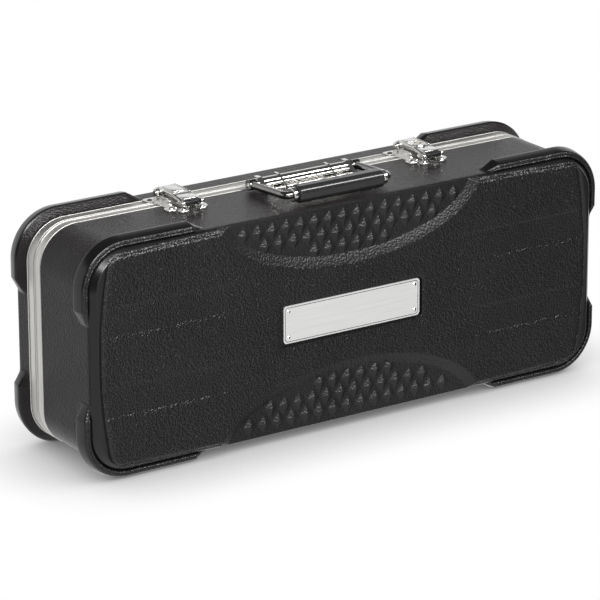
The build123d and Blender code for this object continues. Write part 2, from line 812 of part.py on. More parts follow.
# ---- writing the nodes ----
def write(name, solids):
    """Write one node; a list of solids becomes one group."""
    shape = Compound(children=list(solids)) if isinstance(solids, list) else solids
    shape.label = name
    export_step(shape, f"parts/{name}.step")


os.makedirs("parts", exist_ok=True)
write("deep_shell", deep_shell())
write("deep_valance", deep_valance())
write("deep_lining", deep_lining())
write("deep_foam_pad", deep_pad())
write("lid_shell", lid_shell())
write("lid_valance", lid_valance())
write("lid_lining", tray(lid_floor, y_lid_edge, y_part))
write("lid_foam_pad", lid_pad())
write("badge_plate", badge_plate())
write("badge_rivets", badge_rivets())
write("handle_base", handle_base())
write("handle_backing", handle_backing())
write("handle_pins", handle_pins())
write("handle_bail", handle_bail())
write("handle_grip", handle_grip())
write("handle_ferrules", handle_ferrules())
write("handle_rivets", rivets_z(handle_places, z_top + handle_plate, handle_plate + shell_wall))
for name, centre in hinge_centres.items():
    write(f"hinge_{name}_deep_leaf", hinge_leaf(centre, -1))
    write(f"hinge_{name}_lid_leaf", hinge_leaf(centre, 1))
    write(f"hinge_{name}_pin", hinge_pin(centre))
hinge_grip = hinge_plate + valance_skin + lip_clearance
hinge_seat = z_floor - hinge_plate
write("hinge_deep_rivets", rivets_z(deep_hinge_places, hinge_seat, hinge_grip, up=False))
write("hinge_lid_rivets", rivets_z(lid_hinge_places, hinge_seat, hinge_grip, up=False))
for name, centre in latch_centres.items():
    write(f"latch_{name}_base", latch_base(centre))
    write(f"latch_{name}_hinge_plate", latch_hinge_plate(centre))
    write(f"latch_{name}_pin", latch_pin(centre))
    write(f"latch_{name}_lever", latch_lever(centre, name == "right"))
write("latch_base_rivets", rivets_z(base_places, base_top, latch_plate + shell_wall - rivet_tail_gap))
write("latch_plate_rivets", rivets_z(plate_places, base_top, latch_plate + valance_skin + lip_clearance))
write("lock_collar", lock_collar(latch_offset))
write("lock_plug", lock_plug(latch_offset))
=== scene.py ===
import bpy
import bmesh
import numpy as np
from math import cos, pi, radians, sin
from mathutils import Matrix, Vector


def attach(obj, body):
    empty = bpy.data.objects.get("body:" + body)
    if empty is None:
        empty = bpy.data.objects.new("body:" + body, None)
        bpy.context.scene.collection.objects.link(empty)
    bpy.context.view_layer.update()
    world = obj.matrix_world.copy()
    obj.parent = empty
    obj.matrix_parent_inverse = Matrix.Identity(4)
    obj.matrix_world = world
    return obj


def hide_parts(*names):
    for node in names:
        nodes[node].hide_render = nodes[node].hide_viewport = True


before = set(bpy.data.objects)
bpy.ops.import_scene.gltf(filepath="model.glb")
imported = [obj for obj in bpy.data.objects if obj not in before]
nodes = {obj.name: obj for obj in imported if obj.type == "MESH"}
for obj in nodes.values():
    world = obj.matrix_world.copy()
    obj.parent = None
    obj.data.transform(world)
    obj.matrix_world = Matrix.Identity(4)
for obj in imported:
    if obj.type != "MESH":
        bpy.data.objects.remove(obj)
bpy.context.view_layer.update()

# Everything is in metres, in the frame of the CAD model: X along the case, Y from its
# front face to the lid, Z up to the handle.
MM = 0.001

# ---- sizes of the case, as in the CAD model ----
HALF_LENGTH = 252 * MM
HALF_HEIGHT = 95 * MM
Z_MID = 102.5 * MM
Y_FACE = -62 * MM
Y_BACK = 62 * MM
DEEP_DEPTH = 80 * MM
LID_DEPTH = 22 * MM
CORNER_RADIUS = 34 * MM
EDGE_RADIUS = 8 * MM
EDGE_START = 1.2 * MM  # inset at which the face's own finish starts
RELIEF_START = 0.8 * MM  # inset at which its relief starts
WALL = 3 * MM
LIP_DEPTH = 7 * MM
LIP_INSET = 1.1 * MM
LIP_SHADOW = 0.4 * MM
INNER_FLOOR = 7 * MM  # inside of the deep face, clear of its hollows
INNER_ROUND = 5 * MM  # rounding between inner wall and floor
INNER_ROUND_MID = 1.5 * MM  # inset and height half-way round it

# ---- corner guards ----
GUARD_PROUD = 7.5 * MM
GUARD_FALL = 1.5 * MM  # how far its flat falls towards the front
GUARD_NEAR = 4 * MM
GUARD_ROUND = 3 * MM
GUARD_FAR = 15.5 * MM
GUARD_SLOPE = 6 * MM
GUARD_FLAT = 13 * MM  # depth at which its flat starts
GUARD_FLAT_STEP = 2.6 * MM
FLAT_RINGS, ROUND_RINGS = 3, 6
GUARD_REACH_X = 112 * MM
GUARD_REACH_Z = 62 * MM
GUARD_END = 13 * MM
GUARD_BEAD = 0.5 * MM  # fine bead along the inner edge of a guard
GUARD_GAP = 1.7 * MM  # depth of the valley between guard and rim
GUARD_SEEN = 0.02  # weight from which a place has the guard's finish
# Rings up the hollow foot of its slope, as shares of the slope, and on up its side:
# share of the slope, share of the height, and whether the ring is on the smooth rim.
SLOPE_FOOT = (0.0, 0.04, 0.10, 0.18)
FOOT_RISE, FOOT_POWER = 1.1, 1.35
SLOPE_SIDE = (
    (0.5, 0.5, False), (0.82, 0.82, False), (0.92, 0.93, True), (1.0, 0.985, True),
    (1.12, 1.0, True),
)
# Rings over the bead and through the valley: inset in mm, and a step that counts beads
# where it is negative and is a share of VALLEY_DEEPEST where it isn't.
VALLEY = (
    (-2.1, 0), (-1.65, -0.8), (-1.25, -1), (-0.85, -0.5), (-0.55, 1.4), (0.1, 3.4), (0.75, 2.2),
)
VALLEY_DEEPEST = 3.4
# Where there is no guard, its rings lie on the wall at these depths: the first one, and
# the step from each to the next.
PLAIN_FLAT = (12 * MM, 1.2 * MM)
PLAIN_ROUND = (9.4 * MM, 0.25 * MM)
PLAIN_VALLEY = (7.9 * MM, 0.55 * MM)
SIDE_STEP = 6 * MM  # between the rings of the plain wall

# ---- rounded and bevelled edge of the face ----
RIM_INSETS = (0, 0.15, 0.5, 0.9, 5.0, 5.45, 5.9)  # mm, from the wall
RIM_DEPTHS = (8, 6.2, 5.0, 4.4, 0.42, 0.1, 0)  # mm, behind the face
RIM_RINGS = (1.2, 1.6, 1.975, 2.37, 2.7625, 3.55, 4.3375, 4.9, 5.3, 5.9125, 6.7, 7.4875)

# ---- face pattern ----
CELL_X = 0.875 * MM
CELL_Z = 0.7875 * MM
FIRST_CELL = 0.4 * MM
FLAT_START = 7.8 * MM  # inset at which the flat of the face starts
LAST_GAP = 0.3 * MM  # least space between the last two rings
STUDDED_X = 140 * MM  # beyond this, half the columns are enough
STUDDED_Z = 34 * MM  # nearer than this, half the rows are enough
MIN_STEP = 0.05 * MM
FIELD_SIDE = 8.7 * MM  # rim beside the pebbled field, at mid-height
FIELD_SIDE_SPREAD = 6.8 * MM  # how much wider it gets at FIELD_SPREAD_Z
FIELD_SPREAD_Z = 75 * MM
FIELD_TOP = 2.8 * MM  # rim above and below the field, at mid-length
FIELD_TOP_SPREAD = 3.2 * MM  # how much wider it gets at FIELD_SPREAD_X
FIELD_SPREAD_X = 215 * MM
FIELD_CORNER = 9 * MM
FIELD_GROOVE = 0.8 * MM  # groove round the field
FIELD_GROOVE_HALF = 1.15 * MM
FIELD_PILLOW = 0.35 * MM  # how far its edge falls away
FIELD_PILLOW_WIDTH = 5 * MM
PILLOW_FROM, PILLOW_TO = -1.2 * MM, 0.2 * MM
PEBBLE_OVER = 1.8 * MM  # how far the pebbled finish goes past the long sides
PEBBLE_CORNER = 4 * MM  # where that ends, before the diagonal of a corner
LENS_HALF_X = 133 * MM
LENS_HALF_Z = 63 * MM
LENS_BEYOND = 10 * MM
LENS_BEVEL = 9.5 * MM
LENS_DEPTH = 4 * MM
STUD_ROWS = 5
STUD_PITCH = 14 * MM
STUD_ROW = 12.6 * MM
STUD_HALF_X = 6.3 * MM
STUD_HALF_Z = 7.9 * MM
STUD_HEIGHT = 3.1 * MM
STUD_FLAT = 2.7 * MM  # height that its blunt tip is cut at
STUD_CLEAR = 3 * MM  # least distance of its middle from the bevel
STUD_FLOOR = 0.98  # share of the bevel from which studs stand
# Each hollow: side of the face, first row of studs from the edge, and where in its pitch
# that row starts.
HOLLOWS = ((1, 11.425 * MM, 0.5), (-1, 12.2125 * MM, 0.8125))
BAND_WIDTH = 28 * MM
BAND_CENTRE = 34 * MM
BAND_DEPTH = 0.7 * MM
BAND_EDGE = 3.4 * MM
BAND_LINE = 0.15 * MM  # extra depth of the line along each edge
BAND_LINE_SHARE = 0.7  # its width, as a share of the edge's
BAND_START = 92 * MM
BAND_FULL = 150 * MM
BAND_END = 239 * MM
BAND_FADE = 4 * MM
POCKET_HALF_X = 70.5 * MM
POCKET_HALF_Z = 18.25 * MM
POCKET_RADIUS = 5 * MM
POCKET_DEPTH = 2 * MM
POCKET_MARGIN = 6 * MM
POCKET_LIP = 0.5 * MM  # soft edge round the pocket
POCKET_BREAK = 0.12 * MM

# ---- meshes ----
ARC_STEPS = 28
WELD = 0.002 * MM
STRAIGHT = 0.999  # part of a normal along an axis that makes a side straight
SHELL_CREASE = 30  # degrees
METAL_CREASE = 35
SOFT_CREASE = 50
PLAIN, PEBBLED, RIM, HOLLOW = range(4)

# ---- light ----
SWEEP_LEVEL = 0.72  # white sweep behind and under the case
ROOM_LEVEL = 0.10  # dim room above and in front of it


# ---- materials ----
def material(name):
    """New node material, its tree and its Principled shader."""
    made = bpy.data.materials.new(name)
    made.use_nodes = True
    return made, made.node_tree, made.node_tree.nodes["Principled BSDF"]


def node(tree, kind, **values):
    """New shader node, with properties by name and sockets given as socket_NAME."""
    made = tree.nodes.new(kind)
    for key, value in values.items():
        if key.startswith("socket_"):
            made.inputs[key[7:].replace("_", " ")].default_value = value
        else:
            setattr(made, key, value)
    return made


def combined(tree, operation, one, other):
    """Two values put through a Math node."""
    made = node(tree, "ShaderNodeMath", operation=operation)
    tree.links.new(one, made.inputs[0])
    tree.links.new(other, made.inputs[1])
    return made.outputs["Value"]


def object_coords(tree, stretch=(1, 1, 1)):
    """Object coordinates, stretched along each axis."""
    coords = node(tree, "ShaderNodeTexCoord")
    mapping = node(tree, "ShaderNodeMapping")
    mapping.inputs["Scale"].default_value = stretch
    tree.links.new(coords.outputs["Object"], mapping.inputs["Vector"])
    return mapping.outputs["Vector"]


def spread(tree, value, low, high, source=(0.3, 0.7)):
    """The value, mapped from a source range to low..high."""
    ranged = node(tree, "ShaderNodeMapRange")
    ranged.inputs["From Min"].default_value = source[0]
    ranged.inputs["From Max"].default_value = source[1]
    ranged.inputs["To Min"].default_value = low
    ranged.inputs["To Max"].default_value = high
    tree.links.new(value, ranged.inputs["Value"])
    return ranged.outputs["Result"]


def tint(tree, value, dark, light, positions=(0.0, 1.0)):
    """Colour between two tints, by the value."""
    ramp = node(tree, "ShaderNodeValToRGB")
    for stop, place, colour in zip(ramp.color_ramp.elements, positions, (dark, light)):
        stop.position = place
        stop.color = (*colour, 1)
    tree.links.new(value, ramp.inputs["Fac"])
    return ramp.outputs["Color"]


def bump(tree, height, strength, distance, under=None):
    """Bump from a height, over another bump if one is given."""
    made = node(tree, "ShaderNodeBump", socket_Strength=strength, socket_Distance=distance)
    tree.links.new(height, made.inputs["Height"])
    if under is not None:
        tree.links.new(under, made.inputs["Normal"])
    return made.outputs["Normal"]


def noise(tree, vector, scale, detail):
    """Noise value at a scale in cycles per metre."""
    made = node(tree, "ShaderNodeTexNoise", socket_Scale=scale, socket_Detail=detail)
    tree.links.new(vector, made.inputs["Vector"])
    return made.outputs["Fac"]


def plastic(name, dark, light, roughness, grain_scale, grain_depth, gloss):
    """Black moulded plastic with a pebbled grain and a finer one under it."""
    fine_ratio, fine_share = 2.6, 0.06
    made, tree, shader = material(name)
    coords = object_coords(tree)
    cloud = noise(tree, coords, scale=14, detail=3)
    colour = tint(tree, cloud, dark, light, positions=(0.3, 0.7))
    tree.links.new(colour, shader.inputs["Base Color"])
    grain = noise(tree, coords, grain_scale, detail=0)
    fine = noise(tree, coords, grain_scale * fine_ratio, detail=1)
    tree.links.new(spread(tree, fine, *roughness), shader.inputs["Roughness"])
    low = bump(tree, fine, 1.0, grain_depth * fine_share)
    tree.links.new(bump(tree, grain, 1.0, grain_depth, low), shader.inputs["Normal"])
    shader.inputs["Specular IOR Level"].default_value = gloss
    return made


def metal(name, colour, roughness, brush=None, scuff=0.05, metallic=1.0, contrast=0.14):
    """Bright metal with fine brushing or faint handling marks."""
    made, tree, shader = material(name)
    shader.inputs["Metallic"].default_value = metallic
    coords = object_coords(tree, brush or (1, 1, 1))
    marks = noise(tree, coords, scale=900 if brush else 120, detail=3)
    darker = tuple((1 - contrast) * c for c in colour)
    marked = tint(tree, marks, darker, colour, positions=(0.35, 0.6))
    tree.links.new(marked, shader.inputs["Base Color"])
    tree.links.new(spread(tree, marks, roughness, roughness + scuff), shader.inputs["Roughness"])
    if brush:
        normal = bump(tree, marks, strength=0.2, distance=0.04 * MM)
    else:
        waves = noise(tree, coords, scale=60, detail=2)
        normal = bump(tree, waves, strength=0.12, distance=0.2 * MM)
    tree.links.new(normal, shader.inputs["Normal"])
    return made


def gloss_plastic(name, dark, light, roughness):
    """Glossy black plastic with faint swirl marks."""
    made, tree, shader = material(name)
    marks = noise(tree, object_coords(tree), scale=260, detail=4)
    tree.links.new(tint(tree, marks, dark, light), shader.inputs["Base Color"])
    tree.links.new(spread(tree, marks, *roughness), shader.inputs["Roughness"])
    swirls = bump(tree, marks, strength=0.06, distance=0.2 * MM)
    tree.links.new(swirls, shader.inputs["Normal"])
    return made


def plush(name, dark, light):
    """Short-pile lining."""
    made, tree, shader = material(name)
    coords = object_coords(tree)
    pile = noise(tree, coords, scale=900, detail=3)
    nap = noise(tree, coords, scale=28, detail=2)
    brushed = combined(tree, "MULTIPLY", pile, spread(tree, nap, 0.8, 1.25))
    colour = tint(tree, brushed, dark, light, positions=(0.35, 0.65))
    tree.links.new(colour, shader.inputs["Base Color"])
    shader.inputs["Roughness"].default_value = 0.95
    shader.inputs["Sheen Weight"].default_value = 0.6
    tree.links.new(bump(tree, pile, strength=0.8, distance=0.8 * MM), shader.inputs["Normal"])
    return made


def foam(name, dark, light):
    """Open-cell foam."""
    made, tree, shader = material(name)
    cells = node(tree, "ShaderNodeTexVoronoi", socket_Scale=750)
    tree.links.new(object_coords(tree), cells.inputs["Vector"])
    pores = cells.outputs["Distance"]
    colour = tint(tree, pores, dark, light, positions=(0.1, 0.7))
    tree.links.new(colour, shader.inputs["Base Color"])
    shader.inputs["Roughness"].default_value = 1.0
    tree.links.new(bump(tree, pores, strength=0.9, distance=0.6 * MM), shader.inputs["Normal"])
    return made


SHELL_WALL = plastic(
    "shell_wall", dark=(0.012, 0.0105, 0.0105), light=(0.018, 0.016, 0.016),
    roughness=(0.24, 0.34), grain_scale=700, grain_depth=0.35 * MM, gloss=0.13,
)
SHELL_FACE = plastic(
    "shell_face", dark=(0.003, 0.003, 0.0035), light=(0.0055, 0.0055, 0.006),
    roughness=(0.28, 0.38), grain_scale=720, grain_depth=0.7 * MM, gloss=0.43,
)
SHELL_BEVEL = plastic(
    "shell_bevel", dark=(0.006, 0.006, 0.0065), light=(0.010, 0.010, 0.0105),
    roughness=(0.34, 0.44), grain_scale=600, grain_depth=0.5 * MM, gloss=0.30,
)
SHELL_RIM = plastic(
    "shell_rim", dark=(0.003, 0.003, 0.003), light=(0.005, 0.005, 0.005),
    roughness=(0.23, 0.26), grain_scale=600, grain_depth=0.01 * MM, gloss=0.42,
)
CHROME = (0.74, 0.735, 0.72)
EDGE_METAL = metal("edge_metal", (0.62, 0.612, 0.595), 0.45, brush=(0.02, 1, 0.02))
BADGE_METAL = metal(
    "badge_metal", (0.64, 0.64, 0.635), 0.34, brush=(0.02, 1, 1),
    scuff=0.03, metallic=0.5, contrast=0.07,
)
LATCH_METAL = metal("latch_metal", CHROME, 0.19)
HANDLE_METAL = metal("handle_metal", CHROME, 0.08)
# The bail is the handle's chrome painted dark: a shaded copy of that chrome, a painted dark
# reflection of the room above.
BAIL_CHROME_PAINTED_DARK = metal("bail_chrome_painted_dark", (0.24, 0.237, 0.233), 0.07)
RIVET_METAL = metal("rivet_metal", (0.85, 0.845, 0.83), 0.12)
HINGE_METAL = metal("hinge_metal", (0.62, 0.62, 0.61), 0.30, brush=(1, 1, 1))
LOCK_METAL = metal("lock_metal", (0.74, 0.71, 0.62), 0.2)
GRIP_BLACK = gloss_plastic("grip_black", (0.012,) * 3, (0.018,) * 3, (0.16, 0.24))
LINING_PLUSH = plush("lining_plush", (0.024, 0.024, 0.027), (0.085, 0.085, 0.093))
FOAM_BLACK = foam("foam_black", (0.022, 0.022, 0.024), (0.085, 0.085, 0.09))


def paint(names, new):
    """Give CAD nodes a material."""
    for name in names:
        data = nodes[name].data
        if not data.materials:
            data.materials.append(new)
        for index in range(len(data.materials)):
            data.materials[index] = new


# ---- mesh helpers ----
def placed(name, data):
    """New object in the scene."""
    piece = bpy.data.objects.new(name, data)
    bpy.context.scene.collection.objects.link(piece)
    return piece


def smooth_mesh(name, points, faces, looks, kinds=None, crease=SOFT_CREASE):
    """Closed mesh, smooth apart from creases. kinds has the index of each face's look."""
    data = bpy.data.meshes.new(name)
    data.from_pydata([tuple(map(float, p)) for p in points], [], faces)
    for look in looks:
        data.materials.append(look)
    if kinds is not None:
        data.polygons.foreach_set("material_index", np.array(kinds, np.int32))
    work = bmesh.new()
    work.from_mesh(data)
    bmesh.ops.remove_doubles(work, verts=work.verts, dist=WELD)
    bmesh.ops.recalc_face_normals(work, faces=work.faces)
    work.to_mesh(data)
    work.free()
    data.shade_smooth()
    data.set_sharp_from_angle(angle=radians(crease))
    return placed(name, data)


def spaced(places):
    """Sorted places, without those that nearly meet the one before."""
    places = sorted(set(round(p, 7) for p in places))
    return [p for k, p in enumerate(places) if k == 0 or p - places[k - 1] > MIN_STEP]


def perimeter(xs, zs, half_x, half_z, radius):
    """Places round a rounded rectangle, with the outward normal at each."""
    spots = [(x, -half_z, 0, -1) for x in xs]
    arcs = [(1, -1, -90), (1, 1, 0), (-1, 1, 90), (-1, -1, 180)]
    runs = [
        [(half_x, z, 1, 0) for z in zs],
        [(x, half_z, 0, 1) for x in reversed(xs)],
        [(-half_x, z, -1, 0) for z in reversed(zs)],
        [],
    ]
    for (sx, sz, start), run in zip(arcs, runs):
        cx, cz = sx * (half_x - radius), sz * (half_z - radius)
        for k in range(1, ARC_STEPS):
            angle = radians(start + 90 * k / ARC_STEPS)
            nx, nz = cos(angle), sin(angle)
            spots.append((cx + radius * nx, cz + radius * nz, nx, nz))
        spots += run
    return np.array(spots, float)


def even_perimeter(half_x, half_z, radius, columns, rows):
    """Places round a rounded rectangle, evenly spaced along its straight sides."""
    xs = np.linspace(radius - half_x, half_x - radius, columns)
    zs = np.linspace(radius - half_z, half_z - radius, rows)
    return perimeter(list(xs), list(zs), half_x, half_z, radius)


def ring_at(spots, inset, y, z_mid=Z_MID):
    """Points of a perimeter taken in by an inset, at a place in Y."""
    places = spots[:, :2] - inset * spots[:, 2:]
    return np.stack([places[:, 0], np.full(len(spots), y), places[:, 1] + z_mid], 1)


def ring_faces(start, after, count):
    """Faces between two closed rings, given the first point of each."""
    pairs = [(i, (i + 1) % count) for i in range(count)]
    return [(start + i, start + k, after + k, after + i) for i, k in pairs]


def looped(name, rings, look, body):
    """Mesh through rings that come back to the first one, riding on a body."""
    count = len(rings[0])
    faces = []
    for r in range(len(rings)):
        faces += ring_faces(r * count, (r + 1) % len(rings) * count, count)
    made = smooth_mesh(name, np.concatenate(rings), faces, [look])
    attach(made, body)


def smoothstep(value, low, high):
    t = np.clip((value - low) / (high - low), 0, 1)
    return t * t * (3 - 2 * t)


# ---- relief of the face ----
def lattice():
    """Distances from a long edge at which the face is sampled."""
    count = int((HALF_HEIGHT - FIRST_CELL) / CELL_Z)
    return [FIRST_CELL + k * CELL_Z for k in range(count)]


def lens_and_studs(x, z):
    """Depth of the two elliptical hollows with their studs, and how far each place of the
    face is down their bevel: 0 outside, 1 on the floor."""
    depth = np.zeros_like(x)
    down = np.zeros_like(x)
    inner_x = LENS_HALF_X - LENS_BEVEL
    inner_z = LENS_HALF_Z - LENS_BEVEL
    for side, first_row, phase in HOLLOWS:
        from_edge = HALF_HEIGHT - side * z
        zc = from_edge + LENS_BEYOND
        outer = np.hypot(x / LENS_HALF_X, zc / LENS_HALF_Z)
        inner = np.hypot(x / inner_x, zc / inner_z)
        share = np.clip((1 - outer) / np.maximum(inner - outer, 1e-9), 0, 1)
        studs = np.zeros_like(x)
        for row in range(STUD_ROWS):
            row_at = first_row + row * STUD_ROW
            shift = STUD_PITCH * ((phase + 0.5 * row) % 1.0)
            near = np.round((x - shift) / STUD_PITCH) * STUD_PITCH + shift
            along = near / (inner_x - STUD_CLEAR)
            across = (row_at + LENS_BEYOND) / (inner_z - STUD_CLEAR)
            reach = np.abs(x - near) / STUD_HALF_X + np.abs(from_edge - row_at) / STUD_HALF_Z
            height = np.minimum(STUD_HEIGHT * (1 - reach), STUD_FLAT)
            studs = np.maximum(studs, np.where(np.hypot(along, across) < 1, height, 0))
        hollow = LENS_DEPTH * share - studs * (share > STUD_FLOOR)
        depth = np.maximum(depth, np.where(share > 0, hollow, 0))
        down = np.maximum(down, share)
    return depth, down


def finish_of(x, z):
    """Finish at each place of the face."""
    down = lens_and_studs(x, z)[1]
    near_top = HALF_HEIGHT - np.abs(z) < HALF_LENGTH - np.abs(x) - PEBBLE_CORNER
    pebbled = (down == 0) & (inside_field(x, z) > np.where(near_top, -PEBBLE_OVER, 0))
    return np.where(pebbled, PEBBLED, np.where(down > 0, HOLLOW, RIM))


def bands(x, z):
    """Depth of the shallow lengthwise bands, with a finer line along each edge."""
    start = smoothstep(np.abs(x), BAND_START, BAND_FULL)
    along = start * (1 - smoothstep(np.abs(x), BAND_END, BAND_END + BAND_FADE))
    depth = np.zeros_like(x)
    for centre in (-BAND_CENTRE, BAND_CENTRE):
        off = np.abs(z - centre) - BAND_WIDTH / 2
        flat = 1 - smoothstep(off, -BAND_EDGE, 0)
        line = np.exp(-((off + BAND_EDGE / 2) / (BAND_LINE_SHARE * BAND_EDGE)) ** 2)
        depth += BAND_DEPTH * flat + BAND_LINE * line
    return depth * along


def inside_field(x, z):
    """Distance inside the outline of the pebbled field, negative on the rim."""
    side = FIELD_SIDE + FIELD_SIDE_SPREAD * (z / FIELD_SPREAD_Z) ** 2
    above = FIELD_TOP + FIELD_TOP_SPREAD * (x / FIELD_SPREAD_X) ** 2
    u = HALF_LENGTH - np.abs(x) - side
    v = HALF_HEIGHT - np.abs(z) - above
    short = np.hypot(np.minimum(u - FIELD_CORNER, 0), np.minimum(v - FIELD_CORNER, 0))
    in_corner = (u < FIELD_CORNER) & (v < FIELD_CORNER)
    return np.where(in_corner, FIELD_CORNER - short, np.minimum(u, v))


def field_edge(x, z):
    """Depth of the groove round the field and of its soft edge."""
    s = inside_field(x, z)
    groove = FIELD_GROOVE * np.exp(-(s / FIELD_GROOVE_HALF) ** 2)
    pillow = FIELD_PILLOW * np.clip(1 - s / FIELD_PILLOW_WIDTH, 0, 1) ** 2
    return groove + pillow * smoothstep(s, PILLOW_FROM, PILLOW_TO)


# ---- shells ----
def guard_weight(spots):
    """How much of a guard stands at each place of the perimeter, 0 to 1."""
    x, z, nx, nz = spots.T
    long_side = np.clip((np.abs(x) - (HALF_LENGTH - GUARD_REACH_X)) / GUARD_END, 0, 1)
    short_side = np.clip((np.abs(z) - (HALF_HEIGHT - GUARD_REACH_Z)) / GUARD_END, 0, 1)
    on_short = np.where(np.abs(nx) > STRAIGHT, short_side, 1.0)
    return np.where(np.abs(nz) > STRAIGHT, long_side, on_short)


def rim_depth(inset):
    """Depth of the rounded and bevelled edge at an inset from the wall."""
    return float(np.interp(inset / MM, RIM_INSETS, RIM_DEPTHS)) * MM


def rim_inset(depth):
    """Inset of that edge at a depth behind the face."""
    return float(np.interp(depth / MM, RIM_DEPTHS[::-1], RIM_INSETS[::-1])) * MM


def shell_profile(depth):
    """Rings of a shell from its lip round the outside to the rim groove.
    Each is (inset, depth behind the face) without a guard and with one, and a finish."""
    end = depth - LIP_SHADOW
    lip = ((LIP_INSET, depth + LIP_DEPTH), (LIP_INSET, end), (0, end))
    rings = [(place, None, PLAIN) for place in lip]
    start = GUARD_FAR + GUARD_SLOPE
    steps = max(int((end - start) / SIDE_STEP), 1)
    for k in range(1, steps):
        rings.append(((0, end - (end - start) * k / steps), None, PLAIN))
    slope = [(share, FOOT_RISE * share ** FOOT_POWER, False) for share in SLOPE_FOOT]
    for share, out, smooth in slope + list(SLOPE_SIDE):
        at = start - GUARD_SLOPE * share
        rings.append(((0, at), (-GUARD_PROUD * out, at), RIM if smooth else PLAIN))
    for k in range(FLAT_RINGS):
        plain = PLAIN_FLAT[0] - k * PLAIN_FLAT[1]
        out = GUARD_PROUD - GUARD_FALL * (k + 0.4) / FLAT_RINGS
        rings.append(((0, plain), (-out, GUARD_FLAT - k * GUARD_FLAT_STEP), RIM))
    for k in range(ROUND_RINGS):
        angle = pi / 2 * k / (ROUND_RINGS - 1)
        plain = PLAIN_ROUND[0] - k * PLAIN_ROUND[1]
        out = GUARD_PROUD - GUARD_FALL - GUARD_ROUND * (1 - cos(angle))
        at = GUARD_NEAR + GUARD_ROUND - GUARD_ROUND * sin(angle)
        rings.append(((0, plain), (-out, at), RIM if k < 4 else PEBBLED))
    for k, (inset, step) in enumerate(VALLEY):
        plain = PLAIN_VALLEY[0] - k * PLAIN_VALLEY[1]
        at = GUARD_NEAR + (GUARD_BEAD if step <= 0 else GUARD_GAP / VALLEY_DEEPEST) * step
        finish = PEBBLED if k < 5 else RIM
        rings.append(((rim_inset(plain), plain), (inset * MM, at), finish))
    for inset in RIM_RINGS:
        rings.append(((inset * MM, rim_depth(inset * MM)), None, RIM))
    return rings


def sample_columns():
    """Places along a long edge: the lattice, the ends of the guards and the window."""
    half = HALF_LENGTH - CORNER_RADIUS
    count = int(half / CELL_X)
    columns = [k for k in range(-count, count + 1) if k % 2 == 0 or abs(k * CELL_X) <= STUDDED_X]
    foot = HALF_LENGTH - GUARD_REACH_X
    extra = (POCKET_HALF_X + POCKET_MARGIN, foot, foot + GUARD_END, half)
    return spaced([k * CELL_X for k in columns] + [side * e for e in extra for side in (-1, 1)])


def sample_rows(step):
    """Places along a short edge, with every step-th row of the lattice near the middle."""
    half = HALF_HEIGHT - CORNER_RADIUS
    rows = [HALF_HEIGHT - p for p in lattice() if HALF_HEIGHT - p < half]
    rows = [p for k, p in enumerate(rows) if p > STUDDED_Z or k % step == 0]
    foot = HALF_HEIGHT - GUARD_REACH_Z
    extra = [POCKET_HALF_Z + POCKET_MARGIN, foot, foot + GUARD_END, half]
    return spaced([side * p for p in rows + extra for side in (-1, 1)])


def pocket_patch(window):
    """Rings that close a rectangular window in the grid with the badge's pocket."""
    inner = (POCKET_HALF_X - POCKET_RADIUS, POCKET_HALF_Z - POCKET_RADIUS)
    middle = np.clip(window, (-inner[0], -inner[1]), inner)
    out = window - middle
    out /= np.linalg.norm(out, axis=1)[:, None]
    steps = [(POCKET_LIP, 0.0), (POCKET_BREAK, POCKET_BREAK), (0.0, POCKET_LIP)]
    steps.append((0.0, POCKET_DEPTH))
    return [(middle + (POCKET_RADIUS + grow) * out, depth) for grow, depth in steps]


